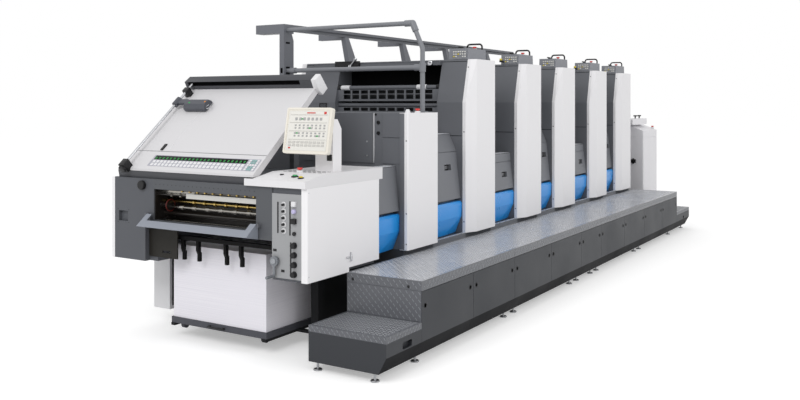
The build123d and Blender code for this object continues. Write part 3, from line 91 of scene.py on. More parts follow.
view = bpy.data.cameras.new("view")
view.sensor_width = film_width
view.lens = film_width * focal_pixels / frame_width
view.shift_y = -horizon_above_centre / frame_width
view.clip_end = view_reach
camera = bpy.data.objects.new("camera", view)
camera.location = spot(*camera_place)
camera.rotation_euler = (math.radians(90), 0, math.radians(camera_heading - 90))
bpy.context.collection.objects.link(camera)
bpy.context.scene.camera = camera
bpy.context.scene.view_settings.view_transform = "Standard"

world = bpy.data.worlds.new("backdrop")
bpy.context.scene.world = world
world.use_nodes = True
tree = world.node_tree
sky = tree.nodes["Background"]
sky.inputs["Color"].default_value = (1, 1, 1, 1)
sky_level = added(tree, "MapRange", {"Value": background_rays(tree), "To Min": ambient_strength})
tree.links.new(sky_level.outputs["Result"], sky.inputs["Strength"])

for name, place, size, power in lamps:
    lamp = bpy.data.lights.new(name, "AREA")
    lamp.shape = "RECTANGLE"
    lamp.size, lamp.size_y = size
    lamp.energy = power
    holder = bpy.data.objects.new(name, lamp)
    holder.location = spot(*place)
    holder.rotation_euler = (spot(*lamp_aim) - spot(*place)).to_track_quat("-Z", "Y").to_euler()
    bpy.context.collection.objects.link(holder)

bpy.ops.mesh.primitive_plane_add(size=floor_width)
floor = bpy.context.object
floor.name = "studio_floor"
floor_paint = bpy.data.materials.new("studio_floor")
floor_paint.use_nodes = True
tree = floor_paint.node_tree
tree.nodes.clear()
matt = added(tree, "BsdfDiffuse", {"Color": (floor_shade, floor_shade, floor_shade, 1)})
glow_level = added(tree, "Math", {0: background_rays(tree), 1: floor_glow}, "MULTIPLY")
glow = added(tree, "Emission", {"Strength": glow_level.outputs[0]})
both = added(tree, "AddShader", {0: matt.outputs[0], 1: glow.outputs[0]})
added(tree, "OutputMaterial", {"Surface": both.outputs[0]})
floor.data.materials.append(floor_paint)

# Operator's platform: doors, frame and feet
# Folded sheet doors hang in front of a welded frame that stands on levelling feet. They are sprayed in a
# satin dark grey. The faces that look down at the foot are painted near black with little gloss, as
# painted shade, and the folds catch the light from their rounded normals and from a painted highlight.
door_face = ("35373b", 0.25)
door_kick_shade = ("111215", 0.03)
kick_lean = -0.1
cloud_scale = 2.6
edge_width = 0.0025
highlight_range = (0.98, 0.75)
relief_depth = 0.0006
scuff_share = 0.25


def shade(hex_colour):
    """Colour of a paint chip, as the shader wants it."""
    channels = [int(hex_colour[place:place + 2], 16) / 255 for place in (0, 2, 4)]
    linear = [c / 12.92 if c <= 0.04045 else ((c + 0.055) / 1.055) ** 2.4 for c in channels]
    return (*linear, 1)


skin = bpy.data.node_groups.new("painted_skin", "ShaderNodeTree")
skin.interface.new_socket("Colour", in_out="INPUT", socket_type="NodeSocketColor")
usual = {"Mottle": 0.04, "Peel": 0.1, "Peel Scale": 420.0, "Edge Light": 0.15, "Roughness": 0.4}
for label, value in usual.items():
    skin.interface.new_socket(label, in_out="INPUT", socket_type="NodeSocketFloat").default_value = value
for label, kind in (("Colour", "Color"), ("Roughness", "Float"), ("Normal", "Vector")):
    skin.interface.new_socket(label, in_out="OUTPUT", socket_type="NodeSocket" + kind)
given = skin.nodes.new("NodeGroupInput").outputs
result = skin.nodes.new("NodeGroupOutput").inputs
place_on = skin.nodes.new("ShaderNodeTexCoord").outputs["Object"]
cloud = added(skin, "TexNoise", {"Vector": place_on, "Scale": cloud_scale, "Detail": 5})
centred = added(skin, "Math", {0: cloud.outputs["Fac"], 1: 0.5}, "SUBTRACT").outputs[0]
swing = added(skin, "Math", {0: centred, 1: given["Mottle"]}, "MULTIPLY").outputs[0]
round_edge = added(skin, "Bevel", {"Radius": edge_width})
round_edge.samples = 4
true_normal = skin.nodes.new("ShaderNodeNewGeometry").outputs["Normal"]
alignment = added(skin, "VectorMath", {0: round_edge.outputs["Normal"], 1: true_normal}, "DOT_PRODUCT")
# Painted highlight: along edges, where the rounded normal leaves the true one, the colour is lightened by
# Edge Light;
# the rounded normal also shades the edges through the surface's own normal.
edge_highlight = added(skin, "MapRange", {
    "Value": alignment.outputs["Value"], "From Min": highlight_range[0], "From Max": highlight_range[1],
})
lighter = added(skin, "Math", {0: edge_highlight.outputs["Result"], 1: given["Edge Light"], 2: swing}, "MULTIPLY_ADD")
gain = added(skin, "Math", {0: lighter.outputs[0], 1: 1.0}, "ADD")
tinted = added(skin, "VectorMath", {0: given["Colour"], "Scale": gain.outputs[0]}, "SCALE")
skin.links.new(tinted.outputs["Vector"], result["Colour"])
peel = added(skin, "TexNoise", {"Vector": place_on, "Scale": given["Peel Scale"]})
relief = added(skin, "Bump", {
    "Distance": relief_depth, "Strength": given["Peel"], "Height": peel.outputs["Fac"],
    "Normal": round_edge.outputs["Normal"],
})
skin.links.new(relief.outputs["Normal"], result["Normal"])
scuff = added(skin, "Math", {0: centred, 1: scuff_share, 2: given["Roughness"]}, "MULTIPLY_ADD")
skin.links.new(scuff.outputs[0], result["Roughness"])


def finish_of(name, colour, roughness=0.42, metallic=0.0, level=0.35, coat=0.0, **effect):
    """Material of one finish, with the painted skin's own values."""
    material = bpy.data.materials.new(name)
    material.use_nodes = True
    nodes, links = material.node_tree.nodes, material.node_tree.links
    surface = nodes["Principled BSDF"]
    surface.inputs["Metallic"].default_value = metallic
    surface.inputs["Specular IOR Level"].default_value = level
    surface.inputs["Coat Weight"].default_value = coat
    surface.inputs["Coat Roughness"].default_value = 0.15
    layer = nodes.new("ShaderNodeGroup")
    layer.node_tree = skin
    layer.inputs["Colour"].default_value = shade(colour)
    layer.inputs["Roughness"].default_value = roughness
    for label, value in effect.items():
        layer.inputs[label.replace("_", " ").title()].default_value = value
    for start, end in (("Colour", "Base Color"), ("Roughness", "Roughness"), ("Normal", "Normal")):
        links.new(layer.outputs[start], surface.inputs[end])
    return material


def painted_facing_shade(material, lean, low, high):
    """Painted shade: one colour and gloss where a face looks further down than the lean, another everywhere
    else.
    """
    tree = material.node_tree
    facing = added(tree, "SeparateXYZ", {0: tree.nodes.new("ShaderNodeNewGeometry").outputs["Normal"]})
    raised = added(tree, "Math", {0: facing.outputs["Z"], 1: lean}, "GREATER_THAN").outputs[0]
    choice = added(tree, "Mix", {"A": shade(low[0]), "B": shade(high[0]), "Factor": raised})
    layer = next(node for node in tree.nodes if node.type == "GROUP")
    tree.links.new(choice.outputs["Result"], layer.inputs["Colour"])
    gloss = added(tree, "MapRange", {"Value": raised, "To Min": low[1], "To Max": high[1]})
    tree.links.new(gloss.outputs["Result"], tree.nodes["Principled BSDF"].inputs["Specular IOR Level"])


def coat_nodes(material, *nodes):
    """The CAD pieces keep their shape and take this finish."""
    for node in nodes:
        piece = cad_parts[node]
        piece.data.materials.clear()
        piece.data.materials.append(material)


door_paint = finish_of("door_paint", door_face[0], roughness=0.48, level=door_face[1], edge_light=0.35)
frame_paint = finish_of("frame_paint", "17181a", roughness=0.7, level=0.2)
zinc = finish_of("zinc", "a2a3a6", roughness=0.35, metallic=0.9, peel=0.2, peel_scale=900.0)
# Painted shade: faces at the doors' foot that look down take the near-black colour and little gloss.
painted_facing_shade(door_paint, kick_lean, door_kick_shade, door_face)
coat_nodes(door_paint, "platform_doors", "end_steps")
coat_nodes(frame_paint, "platform_ribs", "platform_rails")
coat_nodes(zinc, "platform_feet")

# Door latches and the deck's end bolts
# Every door turns a quarter-turn latch at both of its upper corners, a round black cup pressed into the
# sheet. Two black dome-headed bolts hold the deck's near-end lip.
deck_length = 5741
door_joints = (645, 1275, 1949, 2609, 3106, 3778, 4438, 5107)
latch_offset = 42
latch_z = 341
latch_radius = 15
latch_proud = 1.5
bolt_places = ((469, 447), (86, 445))
bolt_radius = 9
sharp_edge = 30
smooth_edge = 35
delivery_way = (-1, 0, 0)
operator_way = (0, -1, 0)


def start_block(x, y, z):
    """Cube stretched between two values along each axis, in millimetres."""
    low, high = spot(x[0], y[0], z[0]), spot(x[1], y[1], z[1])
    bpy.ops.object.select_all(action="DESELECT")
    bpy.ops.mesh.primitive_cube_add(size=1, location=(low + high) / 2, scale=high - low)
    bpy.ops.object.transform_apply(location=True, rotation=True, scale=True)
    return bpy.context.object


def start_rod(start, end, radius, sides):
    """Cylinder between two points, in millimetres."""
    low, high = spot(*start), spot(*end)
    bpy.ops.object.select_all(action="DESELECT")
    bpy.ops.mesh.primitive_cylinder_add(
        vertices=sides, radius=radius / 1000, depth=(high - low).length,
        location=(low + high) / 2, rotation=(high - low).to_track_quat("Z", "Y").to_euler(),
    )
    bpy.ops.object.transform_apply(location=True, rotation=True, scale=True)
    return bpy.context.object


def boss(face, y, z, radius, proud, behind=1, sides=28):
    """Round start that stands proud of a face looking towards the delivery."""
    return start_rod((face - proud, y, z), (face + behind, y, z), radius, sides)


def cross_rod(x, y, z, radius, sides=28):
    """Round start across the press, between two values of y."""
    return start_rod((x, y[0], z), (x, y[1], z), radius, sides)


def soften(piece, width, segments=2):
    """Bevel round a piece's sharp edges, in millimetres."""
    bevel = piece.modifiers.new("bevel", "BEVEL")
    bevel.width = width / 1000
    bevel.segments = segments
    bevel.limit_method = "ANGLE"
    bevel.angle_limit = math.radians(sharp_edge)
    bpy.context.view_layer.objects.active = piece
    bpy.ops.object.modifier_apply(modifier="bevel")
    return piece


def select_faces(piece, wanted):
    """Edit mode, with just the faces that pass the test selected."""
    bpy.ops.object.select_all(action="DESELECT")
    piece.select_set(True)
    bpy.context.view_layer.objects.active = piece
    bpy.ops.object.mode_set(mode="EDIT")
    bpy.ops.mesh.select_mode(type="FACE")
    bpy.ops.mesh.select_all(action="DESELECT")
    bpy.ops.object.mode_set(mode="OBJECT")
    for face in piece.data.polygons:
        face.select = wanted(face)
    bpy.ops.object.mode_set(mode="EDIT")


def sunk(piece, margin, depth, towards=delivery_way):
    """Rim of the given width round the faces that look one way, and a pocket of the given depth inside it."""
    select_faces(piece, lambda face: face.normal.dot(Vector(towards)) > 0.999)
    bpy.ops.mesh.inset(thickness=margin / 1000)
    bpy.ops.mesh.inset(thickness=margin / 8000, depth=-depth / 1000)
    bpy.ops.object.mode_set(mode="OBJECT")
    return piece


def copies(piece, offsets):
    """The piece again at each offset in millimetres, every copy with its own mesh, and the piece itself."""
    made = [piece]
    for offset in offsets:
        copy = piece.copy()
        copy.data = piece.data.copy()
        copy.data.transform(Matrix.Translation(Vector(offset) / 1000))
        bpy.context.collection.objects.link(copy)
        made.append(copy)
    return made


def joined(pieces, name):
    """One named mesh from several pieces."""
    bpy.ops.object.select_all(action="DESELECT")
    for piece in pieces:
        piece.select_set(True)
    bpy.context.view_layer.objects.active = pieces[0]
    if len(pieces) > 1:
        bpy.ops.object.join()
    pieces[0].name = name
    return pieces[0]


def fitted(pieces, name, material, body="press"):
    """Joins the pieces, gives them their finish and smooth rounds, and fixes them to a body."""
    piece = joined(pieces, name)
    piece.data.materials.clear()
    piece.data.materials.append(material)
    bpy.ops.object.shade_smooth_by_angle(angle=math.radians(smooth_edge))
    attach(piece, body)
    return piece


moulded_black = finish_of("moulded_black", "141416", roughness=0.45, peel=0.3, peel_scale=1500.0)
latch = cross_rod(latch_offset, (-latch_proud, latch_proud), latch_z, latch_radius, sides=24)
sunk(latch, latch_radius * 0.2, latch_proud, operator_way)
along_doors = [joint + side - latch_offset for joint in door_joints for side in (-latch_offset, latch_offset)]
along_doors.append(deck_length - 2 * latch_offset)
fitted(copies(latch, [(x, 0, 0) for x in along_doors]), "door_latches", moulded_black)
bolts = [soften(boss(0, y, z, bolt_radius, proud=4, sides=16), 2.5) for y, z in bolt_places]
fitted(bolts, "deck_end_bolts", moulded_black)

# Tread plate: deck, end steps and their lips
# Rolled plate with short raised bars set like a chessboard, under a glossy grey paint that shows the white
# covers. The bars on the folded lips all lean one way, and a riser plate closes the deck's near end. The
# lips, the riser and their bars are painted darker and duller than the tops, as painted shade.
bar_length = 20
bar_width = 5.5
bar_height = 1.5
bar_taper = (0.84, 0.45, 1)
bar_pitch = 24
lip_pitch = 21
step_lip_pitch = 17
lip_bar_growth = 1.2
front_lean = math.radians(58)
end_lean = math.radians(-52)
deck_depth = 512
deck_top = 484
lip_low = 427
step_near = -371
step_far = 575
step_top = 252
step_lip_low = 217
deck_face = ("9c9ea3", 0.4)
step_face = ("66686d", 0.4)
lip_shade = ("606267", 0.25)
flat_lean = 0.5
deck_metal = finish_of("deck_metal", deck_face[0], roughness=0.24, level=deck_face[1], coat=0.15, mottle=0.15)
step_metal = finish_of("step_metal", step_face[0], roughness=0.3, level=step_face[1], coat=0.1, mottle=0.15)
# Painted shade: faces that don't look up (the folded lips, the riser and the bed's edge faces) take a darker
# colour and less gloss.
painted_facing_shade(deck_metal, flat_lean, lip_shade, deck_face)
painted_facing_shade(step_metal, flat_lean, lip_shade, step_face)
deck_bar_metal = finish_of("deck_bar_metal", "c6c8cd", roughness=0.28, level=0.5, mottle=0.1, edge_light=0.1)
step_bar_metal = finish_of("step_bar_metal", "a2a4a9", roughness=0.32, level=0.4, mottle=0.1, edge_light=0.1)
# Painted shade: the bars on the lips get a darker metal than those on the tops.
lip_bar_shaded_metal = finish_of("lip_bar_shaded_metal", "888a8f", roughness=0.4, level=0.3, mottle=0.1, edge_light=0.1)
coat_nodes(deck_metal, "platform_deck", "gap_treads")
coat_nodes(step_metal, "step_treads")


def tread_bar(x, y, angle, size):
    """One raised bar, narrower at its top, on the ground by the deck's corner."""
    length, width = bar_length * size / 2, bar_width * size / 2
    bar = start_block((x - length, x + length), (y - width, y + width), (0, bar_height))
    select_faces(bar, lambda face: face.normal[2] > 0.9)
    bpy.ops.transform.resize(value=bar_taper)
    bpy.ops.object.mode_set(mode="OBJECT")
    middle, turn = spot(x, y, 0), Matrix.Rotation(angle, 4, "Z")
    bar.data.transform(Matrix.Translation(middle) @ turn @ Matrix.Translation(-middle))
    return bar


def tread_field(length, depth, corner, along, across, pitch=bar_pitch, lean=None):
    """Bars over a rectangle, from a corner along two directions: a chessboard, or all leaning one way."""
    quarter = math.radians(45)
    size = pitch / bar_pitch
    turns = {(0, 0): quarter, (1, 0): -quarter, (0, 1): -quarter, (1, 1): quarter}
    if lean is not None:
        turns = {(0, 0): lean, (1, 1): lean}
        size *= lip_bar_growth
    bars = [tread_bar((i + 0.5) * pitch, (j + 0.5) * pitch, turn, size) for (i, j), turn in turns.items()]
    cell = joined(bars, "cell")
    counts = (max(int(length / (2 * pitch)), 1), max(int(depth / (2 * pitch)), 1))
    margins = ((length - counts[0] * 2 * pitch) / 2, (depth - counts[1] * 2 * pitch) / 2)
    for axis, count in enumerate(counts):
        row = cell.modifiers.new("row", "ARRAY")
        row.use_relative_offset = False
        row.use_constant_offset = True
        step = [0, 0, 0]
        step[axis] = 2 * pitch / 1000
        row.constant_offset_displace = step
        row.count = count
        bpy.context.view_layer.objects.active = cell
        bpy.ops.object.modifier_apply(modifier="row")
    first, second = Vector(along), Vector(across)
    turn = Matrix((first, second, first.cross(second))).transposed().to_4x4()
    start = spot(*corner) + (first * margins[0] + second * margins[1]) / 1000
    cell.data.transform(Matrix.Translation(start) @ turn @ Matrix.Translation(-spot(0, 0, 0)))
    return cell


tops = ((1, 0, 0), (0, 1, 0))
front_faces = ((1, 0, 0), (0, 0, 1))
end_faces = ((0, -1, 0), (0, 0, 1))
riser = start_block((-0.7, 1), (2, deck_depth - 2), (step_top + 1, lip_low - 1))
fitted([riser], "deck_riser", step_metal)
top_bars = tread_field(deck_length, deck_depth, (0, 0, deck_top), *tops)
fitted([top_bars], "deck_tread_bars", deck_bar_metal)
deck_lip = deck_top - lip_low
lip_bars = [tread_field(deck_length, deck_lip, (0, 0, lip_low), *front_faces, lip_pitch, front_lean)]
for low, height in ((lip_low, deck_lip), (step_top, lip_low - step_top)):
    lip_bars.append(tread_field(deck_depth, height, (0, deck_depth, low), *end_faces, lip_pitch, end_lean))
fitted(lip_bars, "deck_lip_bars", lip_bar_shaded_metal)
step_bars, step_lip_bars = [], []
step_lip = step_top - step_lip_low
for start, end in ((step_near, 0), (deck_length, deck_length + step_far)):
    step_bars.append(tread_field(end - start, deck_depth, (start, 0, step_top), *tops))
    corner = (start, 0, step_lip_low)
    step_lip_bars.append(tread_field(end - start, step_lip, corner, *front_faces, step_lip_pitch, front_lean))
corner = (step_near, deck_depth, step_lip_low)
step_lip_bars.append(tread_field(deck_depth, step_lip, corner, *end_faces, step_lip_pitch, end_lean))
fitted(step_bars, "step_tread_bars", step_bar_metal)
fitted(step_lip_bars, "step_lip_bars", lip_bar_shaded_metal)

# Bed
# The iron bed that carries the units is painted in the same grey as their side frames, a shade darker
# where it is cast.
bed_paint = finish_of("bed_paint", "3e4044", roughness=0.6, level=0.2, peel=0.5, peel_scale=160.0)
coat_nodes(bed_paint, "machine_base")

# Printing units: housings, guards and rollers
# Each unit is a cast side frame under sprayed dark covers, with a deep recess towards the delivery. Its
# slotted guards hang over black rubber ink rollers, between two round bars held by the side frames.
tower_starts = (1530, 2471, 3318, 4270, 5125)
recess_y = (755, 1708)
recess_z = (1262, 1786)
recess_back = tower_starts[0] + 240
lining_play = 2
seam_levels = (1240, 1800)
seam_y = (542, 2058)
seam_proud = 1.2
lean_start = 1490
lean_height = 326
lean_run = 89
body_paint = finish_of("body_paint", "66686d", roughness=0.5, level=0.25, edge_light=0.3)
housing_paint = finish_of("housing_paint", "55575c", roughness=0.5, level=0.25, edge_light=0.3)
rubber = finish_of("roller_rubber", "1b1c1f", roughness=0.35, level=0.4, edge_light=0.0)
recess_black = finish_of("recess_black", "0b0b0c", roughness=0.9, level=0.05, edge_light=0.0)
coat_nodes(body_paint, "unit_bodies", "unit_guards", "coating_body")
coat_nodes(housing_paint, "drive_housing", "operator_housing")
coat_nodes(rubber, "unit_rollers")


def front_at(level):
    """Where the first tower's front stands along the deck at a height, leaning back near its top."""
    return tower_starts[0] + max(level - lean_start, 0) * lean_run / lean_height


across_units = [(start - tower_starts[0], 0, 0) for start in tower_starts[1:]]
lining = start_block(
    (recess_back - 3, recess_back - 1),
    (recess_y[0] + lining_play, recess_y[1] - lining_play),
    (recess_z[0] + lining_play, recess_z[1] - lining_play),
)
fitted(copies(sunk(lining, 12, 1), across_units), "recess_linings", recess_black)
seams = []
for level in seam_levels:
    face = front_at(level)
    seam = start_block((face - seam_proud, face + 3), seam_y, (level - 2, level + 2))
    seams += copies(sunk(seam, 0.8, 0.6), across_units)
fitted(seams, "housing_seams", recess_black)

# Grips on the first unit's guard bars
# White moulded sleeves are slipped over the two ends of the upper bar, where hands reach it, and black
# sockets join the bar to the side frame.
grip_x = tower_starts[0] + 52
grip_z = 1609
grip_bar_radius = 16
sleeve_runs = ((874, 959), (1591, 1675))
socket_runs = ((756, 782), (1681, 1707))
moulded_white = finish_of("moulded_white", "dcdcde", roughness=0.4, peel=0.2, peel_scale=1400.0)
sleeves = [soften(cross_rod(grip_x, run, grip_z, grip_bar_radius + 4), 4, 3) for run in sleeve_runs]
fitted(sleeves, "grip_sleeves", moulded_white)
sockets = [soften(cross_rod(grip_x, run, grip_z, grip_bar_radius + 7), 3) for run in socket_runs]
fitted(copies(joined(sockets, "pair"), across_units), "guard_bar_sockets", moulded_black)

# Folded tray and sensor box over the first unit
# A folded sheet tray carries a small black sensor box with a plated clamping lever, over the recess's top
# edge. A plated ring beside it holds the washing hose.
tray_x = (1580, 1616)
tray_y = (759, 1960)
tray_z = (1776, 1810)
sensor_y = (1494, 1728)
sensor_proud = 26
clamp_foot = (1573, 1780)
clamp_end = (1519, 1838)
clamp_proud = 30
hose_ring_place = (835, 1790)
vent_place = (1827.5, 1464.5)
vent_size = (77, 41)
plate_chrome = finish_of("plated_steel", "c9cacd", roughness=0.16, metallic=1.0, mottle=0.02, edge_light=0.1)


def tab(face, y, z, width, height, proud, behind=1):
    """Flat start, centred on a point, that stands proud of a face looking towards the delivery."""
    across = (y - width / 2, y + width / 2)
    return start_block((face - proud, face + behind), across, (z - height / 2, z + height / 2))


tray = start_block(tray_x, tray_y, tray_z)
soften(sunk(tray, 5, 3), 1.5)
fitted([tray], "recess_tray", body_paint)
tray_face = tray_x[0]
sensor = start_block((tray_face - sensor_proud, tray_face + 4), sensor_y, (tray_z[0] + 6, tray_z[1] + 14))
fitted([sunk(soften(sensor, 3, 3), 4, 2)], "sensor_box", moulded_black)
clamp_x = tray_face - clamp_proud
clamp = start_rod((clamp_x, *clamp_foot), (clamp_x, *clamp_end), 6, sides=20)
clamp_hub = soften(boss(tray_face, *clamp_foot, 14, proud=38, behind=2), 2)
clamp_knob = soften(boss(tray_face, *clamp_end, 11, proud=42, behind=-18), 5, 3)
hose_ring = soften(boss(tray_face, *hose_ring_place, 20, proud=20, behind=4, sides=32), 3)
sunk(hose_ring, 6, 16)
fitted([clamp, clamp_hub, clamp_knob, hose_ring], "tray_fittings", plate_chrome)
vent = tab(tower_starts[0], *vent_place, *vent_size, proud=3, behind=4)
fitted([sunk(vent, 6, 3)], "side_vent", moulded_black)

# Tower covers
# Moulded covers in a pale satin finish clip over both ends of every unit. Each is held by three pan-head
# screws along the edge towards the delivery.
screw_levels = (1755, 1270, 600)
screw_y = 525
screw_radius = 5
white_paint = finish_of("cover_paint", "eae9eb", roughness=0.42, level=0.3, mottle=0.02, peel=0.12)
dull_screw = finish_of("screw_steel", "77787b", roughness=0.35, metallic=0.9)
coat_nodes(white_paint, "tower_covers", "drive_covers", "coating_cover", "side_panel", "console_post")


def screw_head(x, y, z, radius, look=delivery_way):
    """Pan-head screw with a hollow for the driver, standing out of a face that looks along the given way."""
    way = Vector(look)
    start, end = Vector((x, y, z)) - way * 3, Vector((x, y, z)) + way * radius * 0.35
    head = soften(start_rod(start, end, radius, sides=14), radius * 0.25, 2)
    return sunk(head, radius * 0.45, radius * 0.3, look)


cover_screws = [screw_head(front_at(level), screw_y, level, screw_radius) for level in screw_levels]
fitted(copies(joined(cover_screws, "screws"), across_units), "tower_cover_screws", dull_screw)

# Operating caps
# A grey cap on each tower carries a sloping keypad with pale keys and two yellow ones, a low black lever,
# and a red stop button on a white base inside a bent black bail.
cap_top = 1900
cap_face = tower_starts[0] + 85
key_size = (13, 9)
key_proud = 2.5
key_columns = (560, 579, 598, 617, 636, 655)
key_rows = ((1874, (0, 1, 2, 3, 4, 5)), (1856, (0, 1, 2, 4, 5)), (1838, (0, 1, 4)))
yellow_keys = ((1838, (5,)), (1856, (3,)))
lever_arm_box = ((1632, 1690), (612, 628), (cap_top + 6, cap_top + 16))
lever_pivot = (1685, 620)
cap_paint = finish_of("cap_paint", "818389", roughness=0.45, level=0.3, edge_light=0.2)
panel_film = finish_of("keypad_film", "7f8186", roughness=0.35, peel=0.05)
key_pale = finish_of("key_pale", "d9d8d3", roughness=0.4, peel=0.1)
key_yellow = finish_of("key_yellow", "d8c23c", roughness=0.4, peel=0.1)
stop_paint = finish_of("stop_paint", "cf2c24", roughness=0.22, level=0.5, coat=0.5, mottle=0.02)
coat_nodes(cap_paint, "unit_caps")
coat_nodes(panel_film, "key_panels")
coat_nodes(moulded_black, "cap_bails")
coat_nodes(moulded_white, "stop_bases")
coat_nodes(stop_paint, "stop_buttons")


def upright(x, y, z, radius, sides=28):
    """Round start that stands upright, between two values of z."""
    return start_rod((x, y, z[0]), (x, y, z[1]), radius, sides)


for rows, name, finish in ((key_rows, "cap_keys", key_pale), (yellow_keys, "cap_yellow_keys", key_yellow)):
    keys = []
    for z, columns in rows:
        for column in columns:
            keys.append(soften(tab(cap_face, key_columns[column], z, *key_size, key_proud), 0.8))
    fitted(copies(joined(keys, "pad"), across_units), name, finish)
lever_base = soften(upright(*lever_pivot, (cap_top - 2, cap_top + 12), 17), 3)
lever = joined([lever_base, soften(start_block(*lever_arm_box), 3, 3)], "lever")
fitted(copies(lever, across_units), "cap_levers", moulded_black)

# Lock plates of the second and fourth units
# A black arm with a small yellow turning knob is screwed to the cap's face towards the delivery, at the
# side away from the keys.
lock_y = (672, 690)
lock_z = (1832, 1848)
lock_reach = 60
lock_knob_x = 46
lock_plates, lock_knobs = [], []
for offset in (across_units[0][0], across_units[2][0]):
    face = cap_face + offset + 4
    lock_plates.append(soften(start_block((face - lock_reach, face + 1), lock_y, lock_z), 3))
    knob = upright(face - lock_knob_x, sum(lock_y) / 2, (lock_z[1] - 1, lock_z[1] + 16), 11)
    lock_knobs.append(soften(knob, 3, 3))
fitted(lock_plates, "lock_plates", moulded_black)
fitted(lock_knobs, "lock_knobs", key_yellow)

# Covers between the units
# Folded covers close each gap down to the deck, grey above and with a blue enamelled skirt at the foot. A
# latch sits in each one's finger recess, and tread strips lie on the covers and along the bed's edge.
gap_starts = (1033, 1957, 2898, 3745, 4697)
recess_places = (344, 364, 333, 396, 350)
latch_levels = (1012, 896, 1012, 896, 1012)
latch_walls = (604, 583, 604, 583, 604)
finger_recess = (97, 41)
paddle_size = (44, 24)
tall_strip = (641, 1255)
low_strip = (577, 1069)
coater_strip = (366, 650)
strip_depth = 88
strip_pitch = 14
edge_y = (510.5, 540)
edge_top = 518
edge_sheet = 2.5
grey_paint = finish_of("grey_paint", "76787d", roughness=0.45, level=0.3, edge_light=0.25)
blue_paint = finish_of(
    "blue_enamel", "2493e4", roughness=0.3, level=0.4, coat=0.25, mottle=0.02, edge_light=0.1
)
coat_nodes(grey_paint, "gap_covers")
coat_nodes(blue_paint, "blue_fenders")


def operator_tab(x, face, z, width, height, front, back):
    """Flat start between two distances in front of a face looking towards the operator."""
    along = (x - width / 2, x + width / 2)
    return start_block(along, (face - front, face - back), (z - height / 2, z + height / 2))


finger_linings, paddles = [], []
for start, place, level, wall in zip(gap_starts, recess_places, latch_levels, latch_walls):
    lining = operator_tab(start + place, wall, level, *finger_recess, 3, 1)
    finger_linings.append(sunk(lining, 3, 1, operator_way))
    paddle = operator_tab(start + place, wall, level, *paddle_size, 12, 2)
    paddles.append(sunk(soften(paddle, 2), 5, 4, operator_way))
fitted(finger_linings, "finger_recess_linings", moulded_black)
fitted(paddles, "recess_paddles", dull_screw)
coater_length = coater_strip[1] - coater_strip[0]
cover_bars = [tread_field(coater_length, strip_depth, (coater_strip[0], *low_strip), *tops, strip_pitch)]
for start, end, level in zip(gap_starts, tower_starts, latch_levels):
    corner = tall_strip if level == max(latch_levels) else low_strip
    cover_bars.append(tread_field(end - start, strip_depth, (start, *corner), *tops, strip_pitch))
edge_plates = []
for start, end in zip(gap_starts, tower_starts):
    run = (start + 1, end - 1)
    edge_plates.append(start_block(run, (edge_y[0], edge_y[0] + 2), (deck_top - 1, edge_top)))
    edge_plates.append(start_block(run, edge_y, (edge_top, edge_top + edge_sheet)))
    corner = (start, edge_y[0] + 0.5, edge_top + edge_sheet)
    cover_bars.append(tread_field(end - start, 2 * strip_pitch, corner, *tops, strip_pitch))
fitted(edge_plates, "bed_edge_plates", deck_metal)
fitted(cover_bars, "cover_tread_bars", deck_bar_metal)

# Coating unit
# A low narrow housing with a raised sheet door towards the delivery, held by a bright hinge strip. Sockets
# for hoses and two screws show on the wall beside it.
coater_start = 650
coater_cover_start = 635
hinge_y = (741, 755)
hinge_z = (1083, 1417)
hinge_proud = 5
socket_places = ((712, 1355, 13), (712, 1284, 13), (732, 1408, 8))
wall_screws = ((800, 1226), (800, 1131))
cover_screw_levels = (1237, 760, 560)
cover_screw_y = 485
return_y = (500, 537)
return_z = (522, 1417)
strip_steel = finish_of("strip_steel", "b4b5b8", roughness=0.3, metallic=0.9, mottle=0.03)
hinge_strip = soften(start_block((coater_start - hinge_proud, coater_start + 2), hinge_y, hinge_z), 1.2)
hinge_pin = upright(coater_start - hinge_proud, sum(hinge_y) / 2, hinge_z, 5, sides=20)
wall_heads = [screw_head(coater_start - 6, y, z, 6) for y, z in wall_screws]
fitted([hinge_strip, hinge_pin] + wall_heads, "coater_hinge", strip_steel)
sockets = []
for y, z, radius in socket_places:
    ring = soften(boss(coater_start, y, z, radius, proud=6, behind=2), 2)
    sockets.append(sunk(ring, radius * 0.3, 5))
fitted(sockets, "coater_sockets", moulded_black)
cover_heads = [screw_head(coater_cover_start, cover_screw_y, z, screw_radius) for z in cover_screw_levels]
fitted(cover_heads, "coater_cover_screws", dull_screw)
cover_return = start_block((coater_cover_start - 0.8, coater_cover_start + 2), return_y, return_z)
fitted([soften(cover_return, 0.7)], "coater_cover_return", body_paint)

# Overhead frame
# A clamped tube arch and a channel rail on arms carry the cables above the units. All of it is painted grey
# and bolted, and the first post keeps its cable slots.
post_slots = (1951, 1760, 1714)
post_slot_x = (1022, 1070)
post_slot_y = (1806.5, 1811)
oval_slot_box = ((998.5, 1003), (1822, 1842), (1716, 1756))
rail_paint = finish_of("rail_paint", "6d6f75", roughness=0.45, level=0.3, edge_light=0.3)
arch_paint = finish_of("arch_paint", "7c7e83", roughness=0.4, level=0.35, edge_light=0.2)
coat_nodes(rail_paint, "overhead_rail", "rail_braces")
coat_nodes(arch_paint, "guard_arch")
slots = []
for z in post_slots:
    slot = soften(start_block(post_slot_x, post_slot_y, (z - 7, z + 7)), 1)
    slots.append(sunk(slot, 1.5, 1, operator_way))
slots.append(sunk(soften(start_block(*oval_slot_box), 1), 2, 1))
fitted(slots, "post_slots", recess_black)

